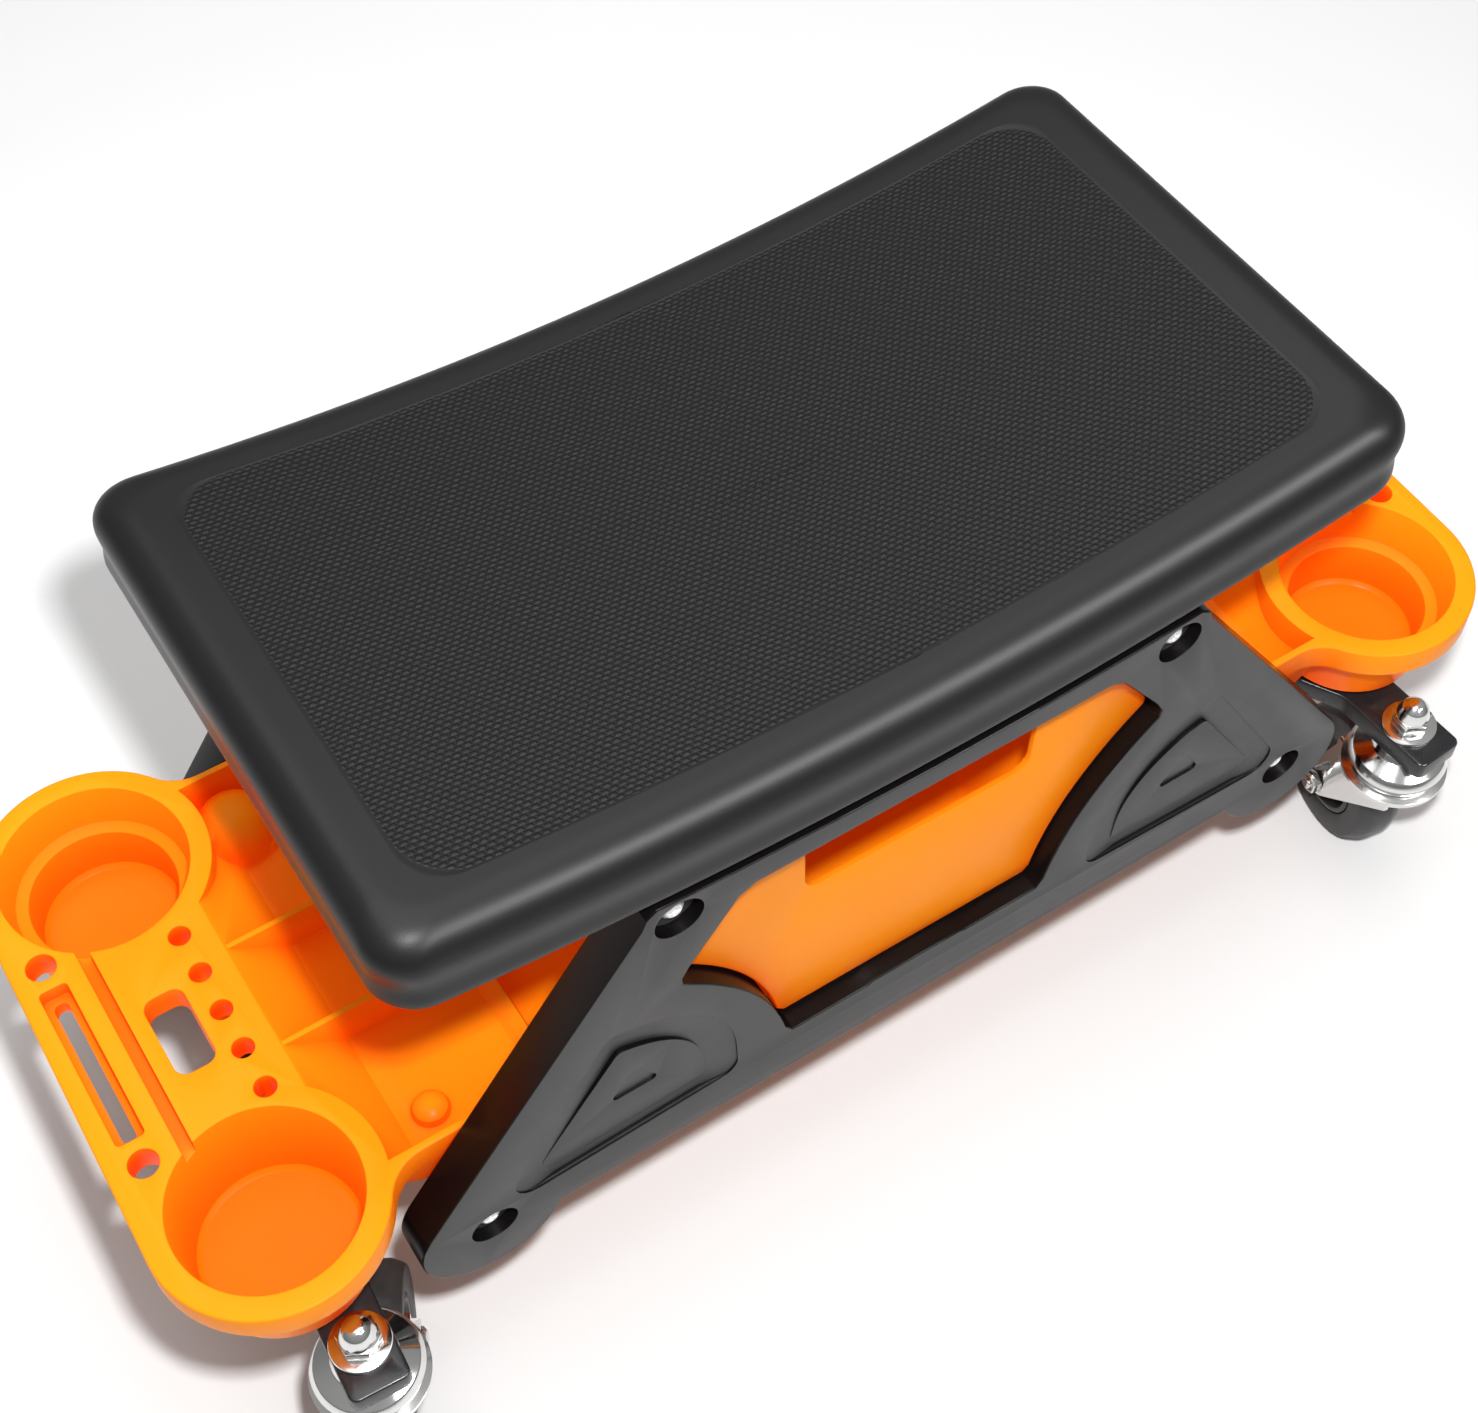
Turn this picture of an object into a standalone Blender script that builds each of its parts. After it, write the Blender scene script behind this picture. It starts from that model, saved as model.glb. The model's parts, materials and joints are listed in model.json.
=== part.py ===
"""Rolling mechanic's seat: a saddle-shaped seat on two side panels, a tool tray with cups at both
ends, two drawers and four swivel casters. Metres, +Z up, origin on the floor below the seat's middle.
"""

import math

import bmesh
import bpy
from mathutils import Matrix, Vector

OBJECT_NAME = "rolling_mechanic_seat"
SEAT_REAL_LENGTH = 0.4445  # 17.5 in; the sizes below are drawn to SEAT_LENGTH and scaled up to this
GAP = 0.0003  # clearance between pieces that touch or rest on each other

# Seat
SEAT_LENGTH = 0.4312
SEAT_WIDTH = 0.2362
SEAT_X = -0.0010
SEAT_Y = 0.0015
SEAT_CORNER_R = 0.0175
SEAT_TOP_Z = 0.3232  # at the raised ends
SEAT_SADDLE = 0.019  # how far the middle lies below the ends
CUSHION_THICK = 0.0370
CUSHION_TOP_ROUND = 0.0150
CUSHION_LOW_ROUND = 0.0030
PAN_THICK = 0.003
PAN_INSET = 0.0050
SEAT_STRIPS = 10

# Side panels, in the X-Z plane
PANEL_OUT_Y = 0.1164
PANEL_THICK = 0.018
PANEL_EDGE = 0.0010
PANEL_WALL = 0.0032
PANEL_FACE = 0.0045
TOP_SCREW_X = 0.1095
LOW_SCREW_X = 0.1954
RECESS_R = 0.010
RECESS_DEPTH = 0.006
BOWL_STEP = 0.0010
BOWL_DEPTH = 0.0025
RELIEF_ARC = (0.150, -0.020)  # centre of the reliefs' curved side

# Tray
TRAY_TOP = 0.157
TRAY_SIDE_Y = 0.0978
TRAY_WALL = 0.003
RIM_DEPTH = 0.014
FLOOR_DEPTH = 0.0215
BAY_DEPTH = 0.0301
END_WALL_X = 0.236
PLAIN_CUP = (-0.2675, -0.0841)
STEP_CUP = (-0.2640, 0.0788)
PLAIN_RIM_R = 0.046
STEP_RIM_R = 0.047
PLAIN_WELL_R = 0.0365
STEP_WELL_R = 0.0385
CUP_DEPTH = 0.043
RIM_FILLET = 0.020

# Drawers
DRAWER_GAP = 0.0012
DRAWER_WALL = 0.0025
DRAWER_FACE_Y = 0.1082
DRAWER_BACK_Y = 0.006

# Crossbars and casters
KINGPIN_X = 0.2596
KINGPIN_Y = 0.1288
BAR_WIDTH = 0.0245
BAR_TOP = 0.103
BAR_THICK = 0.010
BAR_COURSE = ((0.2385, 0.065), (0.2577, 0.098))  # where each half of a bar bends
BAR_OVERHANG = 0.020
STEM_R = 0.004
WHEEL_R = 0.033
TYRE_WIDTH = 0.023
TRAIL = 0.026
AXLE_R = 0.003
FORK_INSIDE = 0.0133
FORK_PLATE = 0.002
CASTERS = (  # name, X side, Y side, heading of the trailing wheel in degrees
    ("left_front", -1, -1, 63),
    ("right_front", 1, -1, 80),
    ("left_rear", -1, 1, -30),
    ("right_rear", 1, 1, -108),
)
TRAY_BOLTS = ((-0.2445, -0.0345), (-0.2445, 0.0227))

MATERIALS = {  # base colour, roughness, metallic
    "seat_vinyl": ((0.030, 0.030, 0.031), 0.42, 0.0),
    "black_plastic": ((0.075, 0.075, 0.077), 0.48, 0.0),
    "orange_plastic": ((1.0, 0.250, 0.010), 0.36, 0.0),
    "black_steel": ((0.012, 0.013, 0.015), 0.35, 0.3),
    "zinc_steel": ((0.62, 0.62, 0.62), 0.22, 1.0),
    "wheel_rubber": ((0.030, 0.030, 0.031), 0.60, 0.0),
    "hub_plastic": ((0.018, 0.018, 0.018), 0.50, 0.0),
}


# ---------------------------------------------------------------- scene and objects


def clear_scene():
    for obj in list(bpy.data.objects):
        bpy.data.objects.remove(obj)


def make_collection(name):
    made = bpy.data.collections.new(name)
    bpy.context.scene.collection.children.link(made)
    return made


def make_material(name):
    colour, roughness, metallic = MATERIALS[name]
    material = bpy.data.materials.new(name)
    material.use_nodes = True
    shader = material.node_tree.nodes["Principled BSDF"]
    shader.inputs["Base Color"].default_value = (*colour, 1.0)
    shader.inputs["Roughness"].default_value = roughness
    shader.inputs["Metallic"].default_value = metallic
    return material


def as_tool(mesh, name="tool"):
    """A mesh as a hidden working shape, to join to or cut from a part."""
    obj = bpy.data.objects.new(name, mesh)
    obj.hide_render = True
    obj.display_type = "WIRE"
    tools.objects.link(obj)
    return obj


def baked(obj):
    """The mesh an object's modifiers or curve settings make, in world space; the object goes."""
    graph = bpy.context.evaluated_depsgraph_get()
    mesh = bpy.data.meshes.new_from_object(obj.evaluated_get(graph))
    mesh.transform(obj.matrix_world)
    bpy.data.objects.remove(obj)
    return mesh


def carve(mesh, operation, shapes):
    """The mesh joined with, or cut by, each of the shapes in turn."""
    base = as_tool(mesh, "base")
    others = [as_tool(shape) for shape in shapes]
    for other in others:
        boolean = base.modifiers.new("carve", "BOOLEAN")
        boolean.operation = operation
        boolean.object = other
    result = baked(base)
    for other in others:
        bpy.data.objects.remove(other)
    return result


def join(mesh, *shapes):
    return carve(mesh, "UNION", shapes)


def cut(mesh, *shapes):
    return carve(mesh, "DIFFERENCE", shapes)


def part(name, mesh, material, parent=None, matrix=None, smooth_angle=35.0):
    """A finished piece of the object. The mesh may be shared between copies."""
    obj = bpy.data.objects.new(name, mesh)
    parts.objects.link(obj)
    if not mesh.materials:
        mesh.materials.append(materials[material])
        mesh.shade_smooth()
        mesh.set_sharp_from_angle(angle=math.radians(smooth_angle))
    obj.parent = parent
    obj.matrix_local = matrix or Matrix.Identity(4)
    return obj


# ---------------------------------------------------------------- plain shapes


def from_bmesh(bm):
    mesh = bpy.data.meshes.new("shape")
    bm.to_mesh(mesh)
    bm.free()
    return mesh


def box(low, high):
    low = Vector(low)
    high = Vector(high)
    size = high - low
    bm = bmesh.new()
    placed = Matrix.Translation((low + high) / 2) @ Matrix.Diagonal((*size, 1.0))
    bmesh.ops.create_cube(bm, size=1.0, matrix=placed)
    return from_bmesh(bm)


def cone(centre, radius_low, radius_high, z_low, z_high, segments=24):
    """A cylinder or cone standing on the Z axis, at centre (x, y)."""
    bm = bmesh.new()
    placed = Matrix.Translation((centre[0], centre[1], (z_low + z_high) / 2))
    bmesh.ops.create_cone(
        bm,
        cap_ends=True,
        segments=segments,
        radius1=radius_low,
        radius2=radius_high,
        depth=z_high - z_low,
        matrix=placed,
    )
    return from_bmesh(bm)


def rod_along_y(x, z, radius, y_low, y_high, segments=16):
    """A cylinder lying along Y."""
    bm = bmesh.new()
    placed = Matrix.Translation((x, (y_low + y_high) / 2, z)) @ Matrix.Rotation(math.pi / 2, 4, "X")
    bmesh.ops.create_cone(
        bm,
        cap_ends=True,
        segments=segments,
        radius1=radius,
        radius2=radius,
        depth=y_high - y_low,
        matrix=placed,
    )
    return from_bmesh(bm)


def turned(profile, steps=20, closed=False):
    """A profile of (radius, z) points, down its outer side, turned round the Z axis."""
    bm = bmesh.new()
    verts = [bm.verts.new((radius, 0.0, z)) for radius, z in profile]
    for first, second in zip(verts, verts[1:]):
        bm.edges.new((first, second))
    if closed:
        bm.edges.new((verts[-1], verts[0]))
    obj = as_tool(from_bmesh(bm), "turned")
    screw = obj.modifiers.new("turn", "SCREW")
    screw.steps = steps
    screw.render_steps = steps
    screw.use_merge_vertices = True
    screw.merge_threshold = 0.00001
    return baked(obj)


def plate(loops, low, high, edge=0.0, upright=False):
    """Flat outlines, holes included, given thickness from low to high along Z.

    An upright plate has its outline in the X-Z plane and its thickness along Y.
    """
    curve = bpy.data.curves.new("outline", "CURVE")
    curve.dimensions = "2D"
    curve.fill_mode = "BOTH"
    curve.extrude = (high - low) / 2 - edge
    curve.bevel_depth = edge
    curve.bevel_resolution = 0
    curve.offset = -edge
    for loop in loops:
        spline = curve.splines.new("POLY")
        spline.points.add(len(loop) - 1)
        for point, (x, y) in zip(spline.points, loop):
            point.co = (x, y, 0.0, 1.0)
        spline.use_cyclic_u = True
    obj = bpy.data.objects.new("outline", curve)
    tools.objects.link(obj)
    mesh = baked(obj)
    bm = bmesh.new()
    bm.from_mesh(mesh)
    bmesh.ops.remove_doubles(bm, verts=bm.verts, dist=0.00001)
    bmesh.ops.recalc_face_normals(bm, faces=bm.faces)
    if upright:
        bmesh.ops.transform(bm, matrix=Matrix.Rotation(math.pi / 2, 4, "X"), verts=bm.verts)
        bmesh.ops.translate(bm, vec=(0, (low + high) / 2, 0), verts=bm.verts)
    else:
        bmesh.ops.translate(bm, vec=(0, 0, (low + high) / 2), verts=bm.verts)
    return from_bmesh(bm)


def loft(loops, places):
    """A solid through outlines in the X-Z plane, equally long and each at its own distance along Y."""
    bm = bmesh.new()
    rows = []
    for loop, y in zip(loops, places):
        rows.append([bm.verts.new((x, y, z)) for x, z in loop])
    for row, other in zip(rows, rows[1:]):
        for i in range(len(row)):
            bm.faces.new((row[i - 1], row[i], other[i], other[i - 1]))
    bm.faces.new(rows[0])
    bm.faces.new(rows[-1])
    bmesh.ops.recalc_face_normals(bm, faces=bm.faces)
    return from_bmesh(bm)


def turned_round(mesh, angle):
    """A copy of the mesh, turned about Z by an angle in degrees."""
    copy = mesh.copy()
    copy.transform(Matrix.Rotation(math.radians(angle), 4, "Z"))
    return copy


def both_ends(mesh):
    """The mesh and its copy at the tray's other end."""
    return [mesh, turned_round(mesh, 180)]


# ---------------------------------------------------------------- outlines


def arc(centre, radius, start, end, steps):
    """Points on a circle, from one angle to another in degrees."""
    points = []
    for i in range(steps + 1):
        angle = math.radians(start + (end - start) * i / steps)
        points.append((centre[0] + radius * math.cos(angle), centre[1] + radius * math.sin(angle)))
    return points


def bowed(start, end, rise, steps):
    """Points on the arc from start to end that rises to the left of the chord."""
    chord = Vector(end) - Vector(start)
    left = Vector((-chord.y, chord.x)).normalized()
    points = []
    for i in range(steps + 1):
        share = i / steps
        point = Vector(start) + chord * share + left * (4 * rise * share * (1 - share))
        points.append(tuple(point))
    return points


def rounded(corners, radius, steps=4):
    """A polygon with its corners rounded: one radius for all, or a list with zeros for sharp ones."""
    radii = radius if isinstance(radius, list) else [radius] * len(corners)
    points = []
    for i, corner in enumerate(corners):
        here = Vector(corner)
        if not radii[i]:
            points.append(tuple(here))
            continue
        before = (Vector(corners[i - 1]) - here).normalized()
        after = (Vector(corners[(i + 1) % len(corners)]) - here).normalized()
        half = before.angle(after) / 2
        reach = radii[i] / math.tan(half)
        centre = here + (before + after).normalized() * (radii[i] / math.sin(half))
        first = here + before * reach - centre
        last = here + after * reach - centre
        sweep = first.angle_signed(last)
        for k in range(steps + 1):
            turn = Matrix.Rotation(-sweep * k / steps, 2)
            points.append(tuple(centre + turn @ first))
    return points


def inset(points, distance):
    """A polygon, given anticlockwise, moved inwards by a distance."""
    moved = []
    count = len(points)
    for i in range(count):
        before = Vector(points[i]) - Vector(points[i - 1])
        after = Vector(points[(i + 1) % count]) - Vector(points[i])
        normal_before = Vector((-before.y, before.x)).normalized()
        normal_after = Vector((-after.y, after.x)).normalized()
        middle = (normal_before + normal_after).normalized()
        moved.append(tuple(Vector(points[i]) + middle * (distance / middle.dot(normal_before))))
    return moved


def mirrored(half):
    """An outline from its right half, bottom to top, with the left half added."""
    return half + [(-x, y) for x, y in reversed(half)]


# ---------------------------------------------------------------- seat


def saddle(x):
    """How far the seat lies below its ends, at x."""
    share = x / (SEAT_LENGTH / 2)
    return SEAT_SADDLE * (1 - share * share)


def seat_slab(side_inset, top, thick, top_round, low_round):
    """A rounded rectangular slab that follows the seat's saddle."""
    length = SEAT_LENGTH - 2 * side_inset
    width = SEAT_WIDTH - 2 * side_inset
    bm = bmesh.new()
    placed = Matrix.Translation((0, 0, top - thick / 2)) @ Matrix.Diagonal((length, width, thick, 1))
    bmesh.ops.create_cube(bm, size=1.0, matrix=placed)
    upright = [e for e in bm.edges if abs(e.verts[0].co.z - e.verts[1].co.z) > thick / 2]
    round_edges(bm, upright, SEAT_CORNER_R - side_inset, 5)
    for level, radius, steps in ((top, top_round, 3), (top - thick, low_round, 2)):
        if radius:
            loop = [e for e in bm.edges if all(abs(v.co.z - level) < 1e-6 for v in e.verts)]
            round_edges(bm, loop, radius, steps)
    for i in range(1, SEAT_STRIPS):
        x = SEAT_LENGTH * (i / SEAT_STRIPS - 0.5)
        geometry = bm.verts[:] + bm.edges[:] + bm.faces[:]
        bmesh.ops.bisect_plane(bm, geom=geometry, plane_co=(x, 0, 0), plane_no=(1, 0, 0))
    for vert in bm.verts:
        vert.co.z -= saddle(vert.co.x)
    bmesh.ops.translate(bm, vec=(SEAT_X, SEAT_Y, 0), verts=bm.verts)
    return from_bmesh(bm)


def round_edges(bm, edges, radius, steps):
    bmesh.ops.bevel(
        bm, geom=edges, offset=radius, offset_type="OFFSET", segments=steps, profile=0.5, affect="EDGES"
    )


def seat_cushion():
    return seat_slab(0.0, SEAT_TOP_Z, CUSHION_THICK, CUSHION_TOP_ROUND, CUSHION_LOW_ROUND)


def pan_top():
    return SEAT_TOP_Z - CUSHION_THICK - GAP


def pan_bottom(x):
    """Height of the pan's underside, which is straight between the strips' edges."""
    strip = SEAT_LENGTH / SEAT_STRIPS
    before = math.floor(x / strip) * strip
    share = (x - before) / strip
    return pan_top() - PAN_THICK - saddle(before) * (1 - share) - saddle(before + strip) * share


def seat_pan():
    """The base pan, with four lugs that hang down behind the side panels and take their screws."""
    slab = seat_slab(PAN_INSET, pan_top(), PAN_THICK, 0, 0)
    lug_half = 0.0115
    lug_in = 0.076
    lug_out = PANEL_OUT_Y - PANEL_THICK - GAP
    lug_low = TRAY_TOP + 0.086
    lug_high = pan_bottom(TOP_SCREW_X) + PAN_THICK / 2
    lugs = []
    bores = []
    for x in (-TOP_SCREW_X, TOP_SCREW_X):
        for side in (-1, 1):
            ends = sorted((side * lug_in, side * lug_out))
            lugs.append(box((x - lug_half, ends[0], lug_low), (x + lug_half, ends[1], lug_high)))
            bores.append(screw_bore(x, top_screw_z(), side))
    return cut(join(slab, *lugs), *bores)


# ---------------------------------------------------------------- side panels


def top_screw_z():
    return TRAY_TOP + 0.0995


def low_screw_z():
    return TRAY_TOP - 0.0512


def screw_bore(x, z, side):
    """A blind hole for a panel screw, from outside the panel inwards."""
    ends = sorted((side * 0.0808, side * (PANEL_OUT_Y + 0.002)))
    return rod_along_y(x, z, SCREW_R + GAP, ends[0], ends[1], segments=8)


def window_half(notch):
    """The right half of the drawer window; notch lowers the outer parts of its sill."""
    sill = -0.031
    low = sill - notch
    bottom = [(0.0215, sill), (0.0240, low), (0.0595, low)] if notch else [(0.0595, sill)]
    flank = bowed((0.0630, -0.0270), (0.1085, 0.0520), 0.0078, 5)
    return bottom + flank + [(0.1090, 0.0560), (0.1060, 0.0620), (0.0850, 0.0915), (0.0780, 0.0950)]


def lifted(points):
    """Points given from the tray's top plane, measured from the floor."""
    return [(x, z + TRAY_TOP) for x, z in points]


def panel_outline():
    """The panel's edge: saddle under the seat, slanted ends and two round feet."""
    foot = (0.1960, -0.0528)
    radius = 0.0305
    top_x = 0.1180
    bottom = -0.0625
    heel = math.degrees(math.asin((bottom - foot[1]) / radius))
    round_foot = arc(foot, radius, -180 - heel, 32, 10)
    shoulder = [(0.1245, 0.1040), (0.1225, 0.1090)]
    strip = SEAT_LENGTH / SEAT_STRIPS
    top = [(x, pan_bottom(x) - 2 * GAP - TRAY_TOP) for x in (top_x, 2 * strip, strip, 0.0)]
    half = round_foot + shoulder + top
    return lifted(half + [(-x, z) for x, z in reversed(half[:-1])])


def relief_outline(near, far, radius, start, rounds):
    """A triangle beside the window, on the +X side, with one curved side: its two lower corners, the
    curved side's radius and the angle it starts at, and the radii of its three corners.
    """
    curve = arc(RELIEF_ARC, radius, start, 176, 6)
    radii = [rounds[0], rounds[1], rounds[2]] + [0] * (len(curve) - 1)
    return lifted(rounded([near, far] + curve, radii, 3))


def relief_solid(outline, low, high, level, lean, edge=0.0):
    """A relief's two solids, one each side, between two distances behind the panel's face. They lean:
    level is the height where the distances hold, and lean the change with height above it.
    """
    shear = Matrix.Identity(4)
    shear[1][2] = lean
    shear[1][3] = -lean * (level + TRAY_TOP)
    shapes = []
    for side in (1, -1):
        loop = [(side * x, z) for x, z in outline][::side]
        shape = plate([loop], -PANEL_OUT_Y + low, -PANEL_OUT_Y + high, edge, upright=True)
        shape.transform(shear)
        shapes.append(shape)
    return shapes


def relief_bowl():
    """The triangular hollows: a low step all round, then a slope to a steep wall along the lower edge."""
    rim = relief_outline((0.0850, -0.0380), (0.1930, -0.0425), 0.0640, 98, (0.008, 0.010, 0.005))
    floor = relief_outline((0.0985, -0.0377), (0.1770, -0.0409), 0.0500, 105, (0.005, 0.006, 0.003))
    places = [-PANEL_OUT_Y + depth for depth in (-0.0002, BOWL_STEP, BOWL_DEPTH)]
    shapes = []
    for side in (1, -1):
        loops = [[(side * x, z) for x, z in loop][::side] for loop in (rim, rim, floor)]
        shapes.append(loft(loops, places))
    return shapes


def relief_wedge():
    """The triangle inside each hollow, high at its top and running into the floor at its lower edge."""
    outline = relief_outline((0.0995, -0.0330), (0.1765, -0.0350), 0.0500, 105, (0.005, 0.006, 0.003))
    return relief_solid(outline, BOWL_DEPTH - 0.0002, 0.0043, -0.034, -0.034)


def relief_notch():
    """The small triangle sunk in the middle, deepest at its lower edge."""
    outline = lifted(rounded([(0.1190, -0.0098), (0.1420, -0.0098), (0.1310, 0.0085)], 0.0025, 3))
    return relief_solid(outline, -0.0100, 0.0029, -0.0098, -0.110)


def panel_pocket():
    """The hollow back of a panel, inside walls along its edge and round the window."""
    edge = inset(panel_outline(), PANEL_WALL)
    window = inset(lifted(mirrored(window_half(0.0))), -PANEL_WALL)
    return plate([edge, window], -PANEL_OUT_Y + PANEL_FACE, -PANEL_OUT_Y + PANEL_THICK + 0.002, upright=True)


def screw_boss(x, z):
    low = -PANEL_OUT_Y + PANEL_FACE / 2
    high = -PANEL_OUT_Y + PANEL_THICK - GAP
    return rod_along_y(x, z, RECESS_R + 0.0018, low, high, 14)


def screw_hole(x, z):
    """A counterbored screw hole through a panel, wide end outwards."""
    deep = PANEL_THICK + 0.002
    profile = [(0.0, 0.002), (RECESS_R, 0.002), (RECESS_R, -RECESS_DEPTH), (SCREW_R + GAP, -RECESS_DEPTH)]
    hole = turned(profile + [(SCREW_R + GAP, -deep), (0.0, -deep)], 16)
    hole.transform(Matrix.Translation((x, -PANEL_OUT_Y, z)) @ Matrix.Rotation(math.pi / 2, 4, "X"))
    return hole


def side_panel():
    """The front panel; the rear one is the same piece turned half round."""
    inner_y = -PANEL_OUT_Y + PANEL_THICK
    window = lifted(mirrored(window_half(0.0012)))
    body = plate([panel_outline(), window], -PANEL_OUT_Y, inner_y, PANEL_EDGE, upright=True)
    body = cut(body, *relief_bowl(), panel_pocket())
    body = cut(join(body, *relief_wedge()), *relief_notch())
    body = join(body, *[screw_boss(x, z) for x, z in screw_places()])
    return cut(body, *[screw_hole(x, z) for x, z in screw_places()])


def screw_places():
    """(x, z) of a side panel's four screws."""
    places = []
    for side in (-1, 1):
        places.append((side * TOP_SCREW_X, top_screw_z()))
        places.append((side * LOW_SCREW_X, low_screw_z()))
    return places


SCREW_R = 0.002
SCREW_HEAD_R = 0.0046
SCREW_HEAD = 0.0026
SCREW_LENGTH = 0.026


def panel_screw():
    """A pan-head screw with a cross recess, head towards -Y, seat of the head at the origin."""
    head = [(0.0, SCREW_HEAD), (0.0030, SCREW_HEAD), (SCREW_HEAD_R, SCREW_HEAD * 0.45), (SCREW_HEAD_R, 0.0)]
    shank = [(SCREW_R, 0.0), (SCREW_R, -SCREW_LENGTH + 0.003), (0.0, -SCREW_LENGTH)]
    body = turned(head + shank, steps=8)
    long_arm = 0.0024
    short_arm = 0.0006
    depth = 0.0014
    arms = (
        box((-long_arm, -short_arm, SCREW_HEAD - depth), (long_arm, short_arm, SCREW_HEAD + depth)),
        box((-short_arm, -long_arm, SCREW_HEAD - depth), (short_arm, long_arm, SCREW_HEAD + depth)),
    )
    body = cut(body, *arms)
    body.transform(Matrix.Rotation(math.pi / 2, 4, "X"))
    return body


# ---------------------------------------------------------------- tray


def tray_end_outline():
    """The -X end of the tray's rim, anticlockwise from the rear side wall to the front one."""
    points = []
    for centre, rim, side in ((STEP_CUP, STEP_RIM_R, 1), (PLAIN_CUP, PLAIN_RIM_R, -1)):
        wall = side * TRAY_SIDE_Y - centre[1]
        drop = abs(wall) + RIM_FILLET
        reach = math.sqrt((rim + RIM_FILLET) ** 2 - drop * drop)
        fillet = (centre[0] + reach, side * (TRAY_SIDE_Y + RIM_FILLET))
        meet = math.degrees(math.atan2(side * drop, reach))
        wall_to_rim = arc(fillet, RIM_FILLET, -side * 90, meet - side * 180, 3)
        round_rim = arc(centre, rim, meet, side * 180, 11)
        stretch = wall_to_rim + round_rim[1:]
        points += stretch if side > 0 else stretch[::-1]
    return points


def tray_outline():
    end = tray_end_outline()
    return end + [(-x, -y) for x, y in end]


def trough_body():
    """The outside of the tool compartments and of the drawer bay between them."""
    low = FLOOR_DEPTH + TRAY_WALL
    bay = BAY_DEPTH + TRAY_WALL
    half = [(0.1440, -bay), (0.1580, -low - 0.0005), (0.2130, -low), (0.2400, -0.002)]
    outline = lifted(mirrored(half))
    side = TRAY_SIDE_Y - 0.0004
    return plate([outline], -side, side, upright=True)


def trough_cavity():
    """The room inside the compartments and the drawer bay, clear of the cups."""
    inner_y = TRAY_SIDE_Y - TRAY_WALL
    half = [
        (0.1470, -BAY_DEPTH),
        (0.1505, -0.0150),
        (0.1575, -FLOOR_DEPTH),
        (0.2105, -FLOOR_DEPTH),
        (END_WALL_X, 0.0005),
        (END_WALL_X, 0.0020),
    ]
    room = plate([lifted(mirrored(half))], -inner_y, inner_y, upright=True)
    low = TRAY_TOP - 0.05
    high = TRAY_TOP + 0.01
    rims = both_ends(cone(PLAIN_CUP, PLAIN_RIM_R - 0.001, PLAIN_RIM_R - 0.0002, low, high, 30))
    rims += both_ends(cone(STEP_CUP, STEP_RIM_R - 0.001, STEP_RIM_R - 0.0002, low, high, 30))
    return cut(room, *rims)


def drawer_passage():
    """The opening in the tray's long sides that the drawers slide through."""
    half = 0.1130
    return box((-half, -0.11, TRAY_TOP - BAY_DEPTH - 0.0002), (half, 0.11, TRAY_TOP + 0.003))


def cup_bodies():
    top = TRAY_TOP - 0.004
    plain = [(0.0, top), (0.0420, top), (0.0400, TRAY_TOP - RIM_DEPTH), (0.0345, TRAY_TOP - 0.0465)]
    plain += [(0.0, TRAY_TOP - 0.0465)]
    step = [(0.0, top), (0.0425, top), (0.0390, TRAY_TOP - 0.0225), (0.0340, TRAY_TOP - 0.0255)]
    step += [(0.0322, TRAY_TOP - 0.0460), (0.0, TRAY_TOP - 0.0460)]
    return both_ends(placed_at(turned(plain, 24), PLAIN_CUP)) + both_ends(
        placed_at(turned(step, 24), STEP_CUP)
    )


def cup_wells():
    ledge = 0.0195
    over = TRAY_TOP + 0.002
    floor = TRAY_TOP - CUP_DEPTH
    slope = (PLAIN_WELL_R - 0.0310) / CUP_DEPTH
    plain = [(0.0, over), (PLAIN_WELL_R + 0.002 * slope, over), (0.0320, floor + 0.0020), (0.0300, floor)]
    plain += [(0.0, floor)]
    step = [(0.0, over), (STEP_WELL_R, over), (0.0350, TRAY_TOP - ledge), (0.0300, TRAY_TOP - ledge - 0.001)]
    step += [(0.0285, floor + 0.0020), (0.0265, floor), (0.0, floor)]
    return both_ends(placed_at(turned(plain, 24), PLAIN_CUP)) + both_ends(
        placed_at(turned(step, 24), STEP_CUP)
    )


def placed_at(mesh, centre):
    mesh.transform(Matrix.Translation((centre[0], centre[1], 0)))
    return mesh


TOOL_HOLES_X = -0.2480
TOOL_HOLES_Y = tuple(0.0322 - 0.01905 * i for i in range(5))
TOOL_HOLE_R = 0.0045
SLOT_X = -0.29885
CORNER_HOLE_Y = 0.0480
POCKET_TOP = 0.003
COLLAR_LOW = 0.0135


def ledge_pocket():
    """The hollow underside of the flat ledge between two cups."""
    return box((-0.3085, -0.036, TRAY_TOP - 0.020), (-0.2425, 0.029, TRAY_TOP - POCKET_TOP))


def ledge_collars():
    """The walls under the ledge around its holes, and the two bosses that stand on the crossbar."""
    low = TRAY_TOP - COLLAR_LOW
    high = TRAY_TOP - POCKET_TOP / 2
    shapes = [cone((TOOL_HOLES_X, y), 0.0065, 0.0068, low, high, 8) for y in TOOL_HOLES_Y]
    shapes.append(box((-0.2760, -0.0266, low), (-0.2546, 0.0151, high)))
    shapes.append(box((-0.3075, -0.0380, low), (-0.2778, 0.0310, high)))
    shapes += [cone(place, 0.0056, 0.0062, BAR_TOP + GAP, high, 8) for place in TRAY_BOLTS]
    return shapes


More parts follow.
